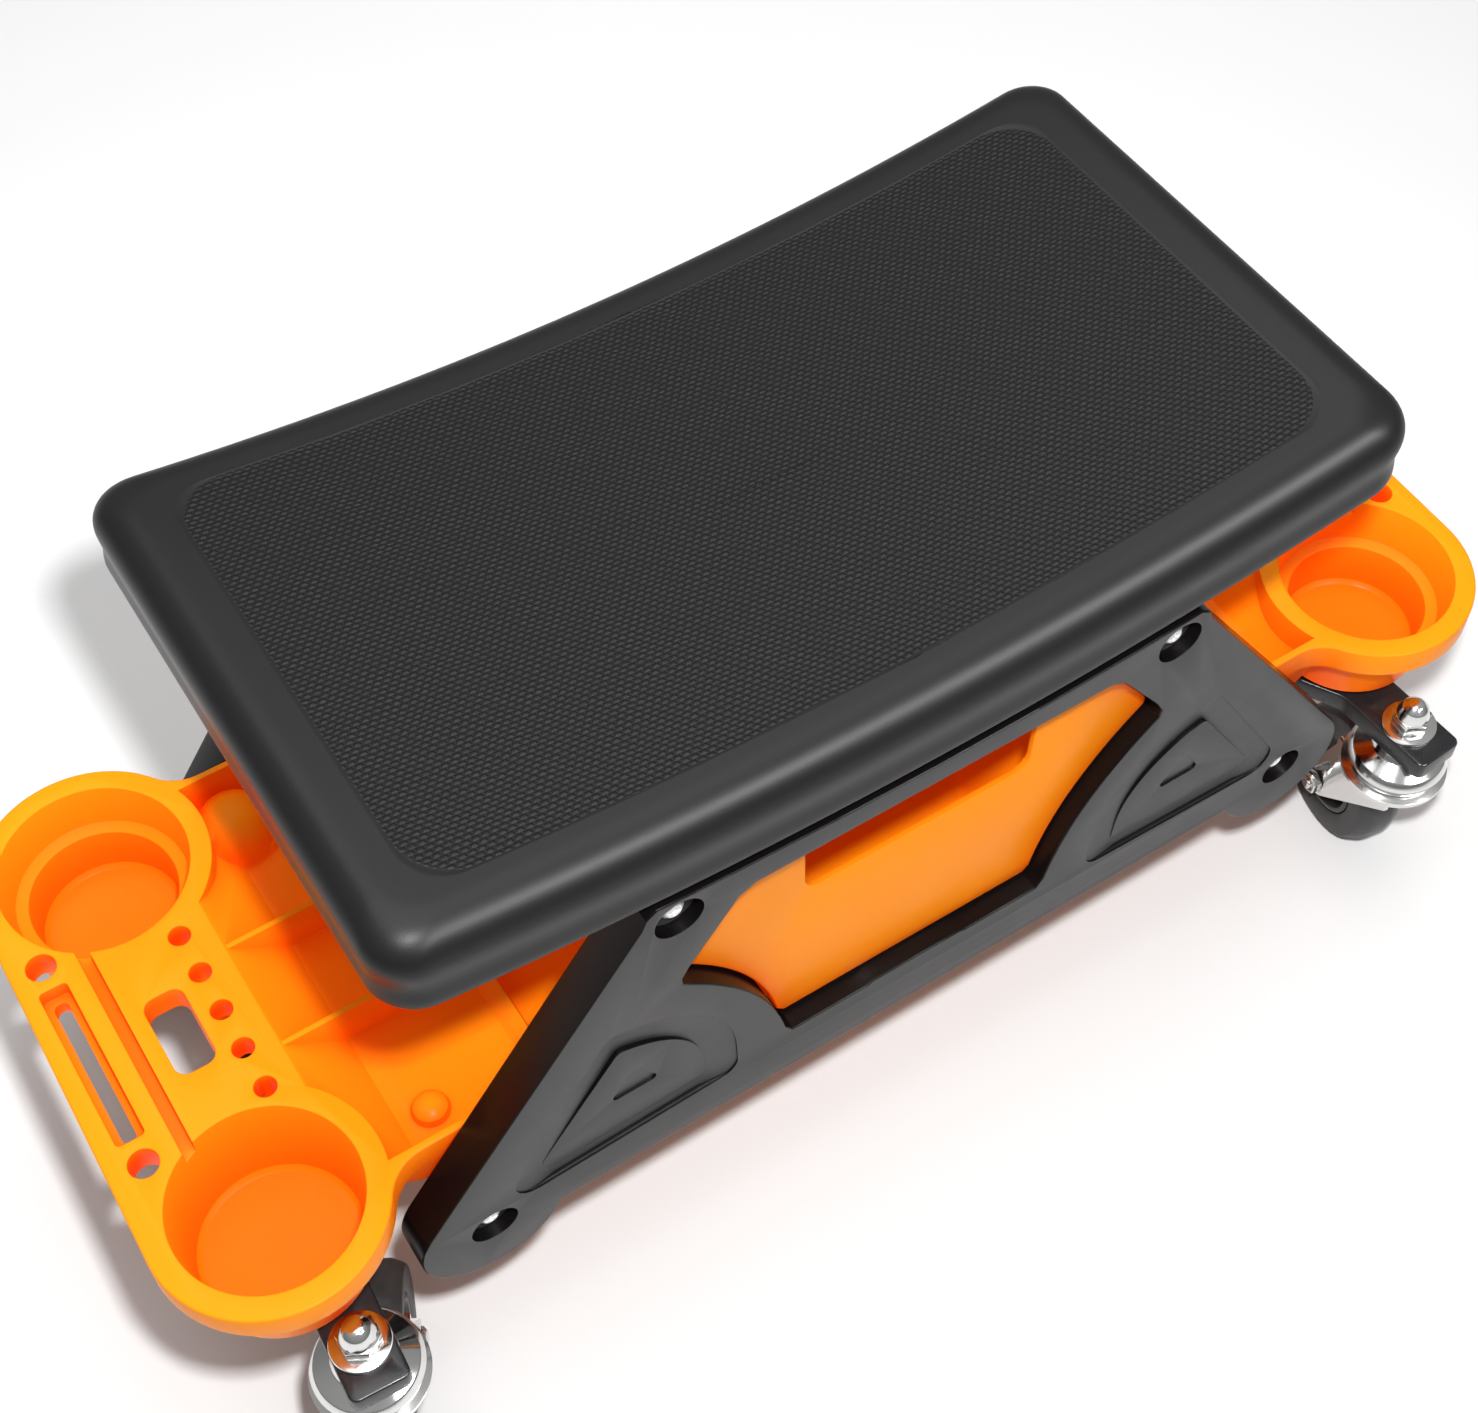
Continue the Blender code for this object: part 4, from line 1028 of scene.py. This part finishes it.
class Nodes:
    """A material's node tree, with short calls for sums and textures on the object's own
    coordinates.
    """

    def __init__(self, name):
        self.material = bpy.data.materials.new(name)
        self.material.use_nodes = True
        self.tree = self.material.node_tree
        self.shader = self.tree.nodes["Principled BSDF"]
        self.place = self.node("ShaderNodeTexCoord")["Object"]
        self.facing = self.node("ShaderNodeTexCoord")["Normal"]

    def feed(self, sockets, values):
        """Gives inputs their values: other nodes' outputs, numbers or (red, green, blue)."""
        for name, value in values.items():
            if isinstance(value, bpy.types.NodeSocket):
                self.tree.links.new(value, sockets[name])
            else:
                sockets[name].default_value = (*value, 1.0) if isinstance(value, tuple) else value

    def node(self, kind, inputs=None, **settings):
        """The outputs of a new node."""
        made = self.tree.nodes.new(kind)
        for key, value in settings.items():
            setattr(made, key, value)
        self.feed(made.inputs, inputs or {})
        return made.outputs

    def math(self, operation, *values):
        return self.node("ShaderNodeMath", dict(enumerate(values)), operation=operation)[0]

    def plus(self, first, second):
        return self.math("ADD", first, second)

    def minus(self, first, second):
        return self.math("SUBTRACT", first, second)

    def times(self, first, second):
        return self.math("MULTIPLY", first, second)

    def split(self, vector):
        return self.node("ShaderNodeSeparateXYZ", {0: vector})

    def noise(self, scale, detail=2.0, roughness=0.5):
        inputs = {"Vector": self.place, "Scale": scale, "Detail": detail, "Roughness": roughness}
        return self.node("ShaderNodeTexNoise", inputs)["Fac"]

    def ramp(self, value, low, high, to_low=0.0, to_high=1.0):
        inputs = dict(enumerate((value, low, high, to_low, to_high)))
        return self.node("ShaderNodeMapRange", inputs, interpolation_type="SMOOTHSTEP")[0]

    def mix(self, share, first, second):
        inputs = {"Factor": share, "A": first, "B": second}
        return self.node("ShaderNodeMix", inputs, data_type="RGBA")["Result"]

    def openness(self, distance):
        """How much of the surroundings a point sees."""
        return self.node("ShaderNodeAmbientOcclusion", {"Distance": distance}, samples=8)["AO"]

    def soft_edges(self, radius):
        """Normals that round the edges a little."""
        return self.node("ShaderNodeBevel", {"Radius": radius}, samples=4)[0]

    def bump(self, height, distance, strength=1.0, before=None):
        inputs = {"Height": height, "Distance": distance, "Strength": strength}
        if before:
            inputs["Normal"] = before
        return self.node("ShaderNodeBump", inputs)[0]

    def grain(self, scale, depth, strength=0.5, before=None):
        return self.bump(self.noise(scale), depth, strength, before)

    def finish(self, colour, roughness, metallic=0.0, normal=None, specular=0.5):
        inputs = {"Base Color": colour, "Roughness": roughness, "Metallic": metallic}
        inputs["Specular IOR Level"] = specular
        if normal:
            inputs["Normal"] = normal
        self.feed(self.shader.inputs, inputs)
        return self.material


WEAVE_LONG = 0.0036  # one dash of the seat's weave, along the seat
WEAVE_ROW = 0.0021


def weave_height(n):
    """Short raised dashes in staggered rows, each a little different."""
    x, y, _ = n.split(n.place)
    across = n.plus(n.math("DIVIDE", y, WEAVE_ROW), n.times(n.noise(55.0, 1.0), 1.2))
    shift = n.times(n.math("PINGPONG", n.math("FLOOR", across), 1.0), 0.5)
    along = n.plus(n.math("DIVIDE", x, WEAVE_LONG), shift)
    from_middle_x = n.math("ABSOLUTE", n.minus(n.math("FRACT", along), 0.5))
    from_middle_y = n.math("ABSOLUTE", n.minus(n.math("FRACT", across), 0.5))
    dash = n.times(n.ramp(from_middle_x, 0.46, 0.18), n.ramp(from_middle_y, 0.48, 0.1))
    return n.times(dash, n.ramp(n.noise(260.0, 1.0), 0.25, 0.75, 0.55, 1.0))


def inside_panel(n):
    """One inside the seat's woven panel, falling to nothing at its edge."""
    x, y, _ = n.split(n.place)
    squares = []
    for place, middle, half in (
        (x, SEAT_X, SEAT_LENGTH / 2 - PANEL_INSET_X),
        (y, SEAT_Y, SEAT_WIDTH / 2 - PANEL_INSET_Y),
    ):
        away = n.math("ABSOLUTE", n.minus(place, middle * UNIT))
        past = n.math("MAXIMUM", n.minus(away, (half - PANEL_CORNER_R) * UNIT), 0.0)
        squares.append(n.times(past, past))
    radius = PANEL_CORNER_R * UNIT
    return n.ramp(n.math("SQRT", n.plus(*squares)), radius, radius - 0.0012)


def seat_vinyl():
    n = Nodes("seat_vinyl_woven")
    _, _, up = n.split(n.facing)
    panel = n.times(inside_panel(n), n.ramp(up, 0.5, 0.8))
    weave = n.times(weave_height(n), panel)
    patches = n.noise(14.0, 3.0)
    smooth = n.mix(patches, (0.0098, 0.0098, 0.01), (0.0118, 0.0118, 0.012))
    # painted shade: the weave's colour follows its height, darker in the sunken gaps between the dashes
    woven = n.mix(n.times(weave, 0.9), (0.0042, 0.0042, 0.0044), (0.013, 0.013, 0.0133))
    rough = n.plus(n.ramp(panel, 0.0, 1.0, 0.36, 0.55), n.times(patches, 0.06))
    normal = n.bump(weave, 0.0005, 1.0, n.grain(1400.0, 0.00006))
    return n.finish(n.mix(panel, smooth, woven), rough, normal=normal, specular=0.25)


def black_plastic():
    """Satin moulded plastic: broad spark-eroded faces, and glossier, darker walls."""
    n = Nodes("black_plastic_moulded")
    _, out, _ = n.split(n.facing)
    face = n.ramp(n.math("ABSOLUTE", out), 0.72, 0.97)
    broad = n.mix(n.noise(16.0, 3.0), (0.029, 0.029, 0.0295), (0.035, 0.035, 0.0355))
    colour = n.mix(face, (0.005, 0.004, 0.004), broad)
    gloss = n.ramp(face, 0.0, 1.0, 0.14, 0.5)
    rough = n.plus(n.ramp(face, 0.0, 1.0, 0.2, 0.46), n.times(n.noise(60.0), 0.1))
    grain = n.times(n.noise(1100.0, 3.0), face)
    normal = n.bump(grain, 0.00008, 0.6, n.soft_edges(0.0005))
    return n.finish(colour, rough, normal=normal, specular=gloss)


PAINTED_SHADE_REACH = 0.06  # how far round a point its surroundings deepen its colour towards red, a painted shade
PAINTED_LIGHT_REACH = 0.3
PAINTED_LIGHT_STRENGTH = 0.3  # strength of a painted glow in the deep hollows, an emission seen only by the camera


def orange_plastic():
    """Semi-gloss moulded plastic whose colour deepens towards red in hollows as painted shade, with a
    painted red glow in the deep hollows that only the camera sees.
    """
    n = Nodes("orange_plastic_painted_shade_and_glow")
    open_colour = n.mix(n.noise(9.0), (1.0, 0.285, 0.004), (1.0, 0.32, 0.007))
    # painted shade: the colour turns deep red where the surroundings close in
    colour = n.mix(n.openness(PAINTED_SHADE_REACH), (0.95, 0.025, 0.0), open_colour)
    # painted light: a red emission in the deep hollows, seen only by camera rays
    shade = n.ramp(n.openness(PAINTED_LIGHT_REACH), 1.0, 0.0)
    seen = n.node("ShaderNodeLightPath")["Is Camera Ray"]
    painted_light = n.times(n.times(shade, seen), PAINTED_LIGHT_STRENGTH)
    n.feed(n.shader.inputs, {"Emission Color": (1.0, 0.05, 0.0), "Emission Strength": painted_light})
    scuffs = n.ramp(n.noise(38.0, 4.0, 0.62), 0.62, 0.8)
    colour = n.mix(n.times(scuffs, 0.06), colour, (1.0, 0.38, 0.02))
    rough = n.plus(n.ramp(n.noise(26.0, 3.0), 0.3, 0.7, 0.3, 0.38), n.times(scuffs, 0.12))
    grain = n.grain(700.0, 0.00005, 0.35, n.soft_edges(0.0008))
    flow = n.bump(n.noise(7.0, 1.0), 0.0008, 0.1, grain)
    return n.finish(colour, rough, normal=flow, specular=0.06)


def coated_steel():
    n = Nodes("black_steel_coated")
    colour = n.mix(n.noise(30.0), (0.008, 0.009, 0.011), (0.014, 0.015, 0.017))
    rough = n.ramp(n.noise(80.0, 3.0), 0.3, 0.7, 0.24, 0.36)
    return n.finish(colour, rough, normal=n.grain(520.0, 0.00007))


def zinc():
    """Bright plating with faint clouds, drawing marks and waves."""
    n = Nodes("zinc_plated")
    cloud = n.noise(45.0, 3.0)
    colour = n.mix(cloud, (0.66, 0.66, 0.65), (0.78, 0.78, 0.77))
    rough = n.ramp(cloud, 0.3, 0.75, 0.1, 0.21)
    scratch = n.bump(n.noise(900.0, 3.0, 0.7), 0.00002, 0.4)
    waves = n.bump(n.noise(110.0, 1.0), 0.0001, 0.25, scratch)
    return n.finish(colour, rough, metallic=1.0, normal=waves)


def screw_zinc():
    """The panel screws' duller plating, which shows in the dark of their recesses."""
    n = Nodes("zinc_dull")
    colour = n.mix(n.noise(300.0), (0.78, 0.78, 0.77), (0.92, 0.92, 0.91))
    return n.finish(colour, 0.38, metallic=0.4, normal=n.grain(1500.0, 0.00002, 0.4))


def rubber():
    n = Nodes("wheel_rubber_worn")
    dust = n.ramp(n.noise(40.0, 4.0, 0.6), 0.45, 0.75)
    colour = n.mix(n.times(dust, 0.5), (0.022, 0.022, 0.023), (0.058, 0.057, 0.056))
    rough = n.ramp(dust, 0.0, 1.0, 0.46, 0.66)
    return n.finish(colour, rough, normal=n.grain(1000.0, 0.00007))


def hub():
    n = Nodes("hub_plastic_moulded")
    colour = n.mix(n.noise(50.0), (0.012, 0.012, 0.012), (0.02, 0.02, 0.02))
    rough = n.ramp(n.noise(70.0), 0.3, 0.7, 0.34, 0.46)
    return n.finish(colour, rough, normal=n.grain(900.0, 0.00005))


def make_materials():
    return {
        "seat_vinyl": seat_vinyl(),
        "black_plastic": black_plastic(),
        "orange_plastic": orange_plastic(),
        "black_steel": coated_steel(),
        "zinc_steel": zinc(),
        "screw_zinc": screw_zinc(),
        "wheel_rubber": rubber(),
        "hub_plastic": hub(),
    }


# --- pieces


def size_of_model():
    """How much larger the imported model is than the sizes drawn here, from its seat's length."""
    low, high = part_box("seat_cushion")
    return (high.x - low.x) / SEAT_LENGTH


def tidied(mesh, edge, angle=30):
    """The mesh without needless edges in flat faces, and its edges sharper than angle rounded."""
    obj = as_tool(mesh, "tidied")
    merge = obj.modifiers.new("flat", "DECIMATE")
    merge.decimate_type = "DISSOLVE"
    merge.angle_limit = math.radians(0.6)
    bevel = obj.modifiers.new("edge", "BEVEL")
    bevel.width = edge
    bevel.segments = 2
    bevel.limit_method = "ANGLE"
    bevel.angle_limit = math.radians(angle)
    bevel.miter_outer = "MITER_ARC"
    return baked(obj)


def in_scene(name, data):
    obj = bpy.data.objects.new(name, data)
    bpy.context.scene.collection.objects.link(obj)
    return obj


def show(node, mesh, matrix=None, smooth=32.0, finish=None):
    """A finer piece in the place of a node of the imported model, riding on that node's body."""
    slot = slots[node]
    if not mesh.get("ready"):
        mesh.transform(Matrix.Scale(UNIT, 4))
        mesh.materials.clear()
        mesh.materials.append(materials[finish or slot])
        mesh.shade_smooth()
        mesh.set_sharp_from_angle(angle=math.radians(smooth))
        mesh["ready"] = True
    obj = in_scene(f"{node}_fine", mesh)
    if matrix:
        placed = matrix.copy()
        placed.translation *= UNIT
        obj.matrix_world = placed
    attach(obj, frame["nodes"][node]["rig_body"])
    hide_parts(node)


def dress(node):
    """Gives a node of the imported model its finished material."""
    mesh = frame["nodes"][node].data
    mesh.materials.clear()
    mesh.materials.append(materials[slots[node]])
    for face in mesh.polygons:
        face.material_index = 0


def add_seat():
    show("seat_cushion", cushion_mesh(), smooth=60.0)


def add_sides():
    panel = tidied(side_panel(), 0.0008)
    bin_mesh = tidied(drawer(), 0.0007)
    screw = tidied(panel_screw(), 0.0002)
    seat_y = -PANEL_OUT_Y + RECESS_DEPTH - GAP
    labels = ("left_top", "left_low", "right_top", "right_low")
    for name, angle in (("front", 0), ("rear", 180)):
        turn = Matrix.Rotation(math.radians(angle), 4, "Z")
        show(f"{name}_side_panel", panel, turn)
        show(f"{name}_drawer", bin_mesh, turn)
        for label, (x, z) in zip(labels, screw_places()):
            place = turn @ Matrix.Translation((x, seat_y, z))
            show(f"{name}_screw_{label}", screw, place, finish="screw_zinc")


def add_tray():
    show("tool_tray", tidied(tool_tray(), 0.0009))


def add_crossbars():
    bar = tidied(crossbar(), 0.0004)
    bolt = tidied(tray_bolt(), 0.0003)
    head_z = BAR_TOP - BAR_THICK - GAP
    for name, angle in (("left", 0), ("right", 180)):
        turn = Matrix.Rotation(math.radians(angle), 4, "Z")
        show(f"{name}_crossbar", bar, turn)
        for label, (x, y) in zip(("a", "b"), TRAY_BOLTS):
            show(f"{name}_tray_bolt_{label}", bolt, turn @ Matrix.Translation((x, y, head_z)))


def add_casters():
    still = {
        "stem_bolt": tidied(stem_bolt(), 0.0003),
        "washer": tidied(washer(), 0.0003),
        "dome_nut": tidied(dome_nut(), 0.0005, 28),
        "upper_race": tidied(upper_race(), 0.0005),
    }
    turning = {
        "fork": tidied(fork(), 0.0005),
        "axle_bolt": tidied(axle_bolt(), 0.0003),
        "axle_nut": tidied(axle_nut(), 0.0004),
        "tyre": tidied(tyre(), 0.0012, 25),
        "hub": tidied(wheel_hub(), 0.0006),
    }
    for name, side_x, side_y, heading in CASTERS:
        stem = Matrix.Translation((side_x * KINGPIN_X, side_y * KINGPIN_Y, 0))
        swivel = stem @ Matrix.Rotation(math.radians(heading), 4, "Z")
        for pieces, place in ((still, stem), (turning, swivel)):
            for piece, mesh in pieces.items():
                show(f"{name}_{piece}", mesh, place)


# --- camera, floor and light


CAMERA_AIM = Vector((0.007528, 0.033813, 0.147368))
CAMERA_SIDE = -32.618  # degrees round from the front
CAMERA_HEIGHT = 53.38
CAMERA_AWAY = 0.989124
LENS = 56.33
LENS_SHIFT = (0.00529, -0.02926)
KEY_OFFSET = (0.085, 0.047, 0.03)  # from the camera
KEY_SIZE = 0.05
KEY_POWER = 10.6
OVERHEAD_PLACE = (0.05, 0.25, 1.55)
OVERHEAD_SIZE = (1.3, 1.1)
OVERHEAD_POWER = 12.0
FRONT_PLACE = (0.51, -1.1, 1.21)
FRONT_SIZE = (0.9, 0.3)
FRONT_POWER = 24.0
SKY = 0.8
SKY_GREYS = ((0.0, 0.2), (0.12, 0.25), (0.35, 0.4), (1.0, 0.55))  # from the horizon up


def direction(side, height):
    """The unit vector from the object towards a viewer at these angles, in degrees."""
    side, height = math.radians(side), math.radians(height)
    flat = math.cos(height)
    return Vector((math.sin(side) * flat, -math.cos(side) * flat, math.sin(height)))


def viewpoint():
    away = direction(CAMERA_SIDE, CAMERA_HEIGHT) * CAMERA_AWAY * UNIT
    return CAMERA_AIM * UNIT + away


def look_along(obj, place, aim):
    obj.location = place
    obj.rotation_euler = (place - aim).to_track_quat("Z", "Y").to_euler()


def add_camera():
    lens = bpy.data.cameras.new("camera")
    lens.sensor_width = 36.0
    lens.sensor_fit = "HORIZONTAL"
    lens.lens = LENS
    lens.shift_x, lens.shift_y = LENS_SHIFT
    lens.clip_start = 0.01
    camera = in_scene("camera", lens)
    look_along(camera, viewpoint(), CAMERA_AIM * UNIT)
    bpy.context.scene.camera = camera


def add_floor():
    bm = bmesh.new()
    bmesh.ops.create_grid(bm, x_segments=1, y_segments=1, size=6.0)
    floor = in_scene("floor", from_bmesh(bm))
    n = Nodes("floor_pale")
    shade = n.mix(n.noise(3.0, 4.0), (0.7, 0.7, 0.7), (0.72, 0.72, 0.72))
    floor.data.materials.append(n.finish(shade, 0.9, specular=0.2))


def add_area(name, place, aim, size, power, even=False):
    """A softbox at a place, facing a point. An even one lights near and far things alike."""
    light = bpy.data.lights.new(name, "AREA")
    light.shape = "RECTANGLE"
    light.size, light.size_y = size
    light.energy = power
    if even:
        light.use_nodes = True
        tree = light.node_tree
        falloff = tree.nodes.new("ShaderNodeLightFalloff")
        falloff.inputs["Strength"].default_value = 1.0
        tree.links.new(falloff.outputs["Constant"], tree.nodes["Emission"].inputs["Strength"])
    obj = in_scene(name, light)
    look_along(obj, Vector(place), Vector(aim))
    return obj


def add_sky():
    """A plain studio: bright overhead, greyer towards the horizon."""
    world = bpy.data.worlds.new("studio")
    bpy.context.scene.world = world
    world.use_nodes = True
    tree = world.node_tree
    back = tree.nodes["Background"]
    place = tree.nodes.new("ShaderNodeTexCoord")
    split = tree.nodes.new("ShaderNodeSeparateXYZ")
    ramp = tree.nodes.new("ShaderNodeValToRGB")
    tree.links.new(place.outputs["Generated"], split.inputs[0])
    tree.links.new(split.outputs["Z"], ramp.inputs[0])
    tree.links.new(ramp.outputs[0], back.inputs["Color"])
    stops = ramp.color_ramp.elements
    stops.remove(stops[1])
    for i, (height, grey) in enumerate(SKY_GREYS):
        stop = stops.new(height) if i else stops[0]
        stop.position = height
        stop.color = (grey, grey, grey, 1.0)
    back.inputs["Strength"].default_value = SKY


def add_lights():
    """The key stands beside the camera, so that shadows show as narrow bands on one side. The front
    box makes highlights only.
    """
    key_place = viewpoint() + Vector(KEY_OFFSET)
    add_area("key", key_place, CAMERA_AIM * UNIT, (KEY_SIZE, KEY_SIZE), KEY_POWER, even=True)
    add_area("overhead", OVERHEAD_PLACE, (0.0, 0.0, 0.15), OVERHEAD_SIZE, OVERHEAD_POWER)
    front = add_area("front_box", FRONT_PLACE, (0.0, 0.0, 0.18), FRONT_SIZE, FRONT_POWER)
    front.visible_diffuse = False
    add_sky()


UNIT = size_of_model()
slots = {part["node"]: part["material_slot"] for part in frame["record"]["subparts"]}
materials = make_materials()
for node_name in frame["nodes"]:
    dress(node_name)
add_seat()
add_sides()
add_tray()
add_crossbars()
add_casters()
bpy.data.collections.remove(tools)
add_floor()
add_lights()
add_camera()
bpy.context.scene.view_settings.view_transform = "Standard"
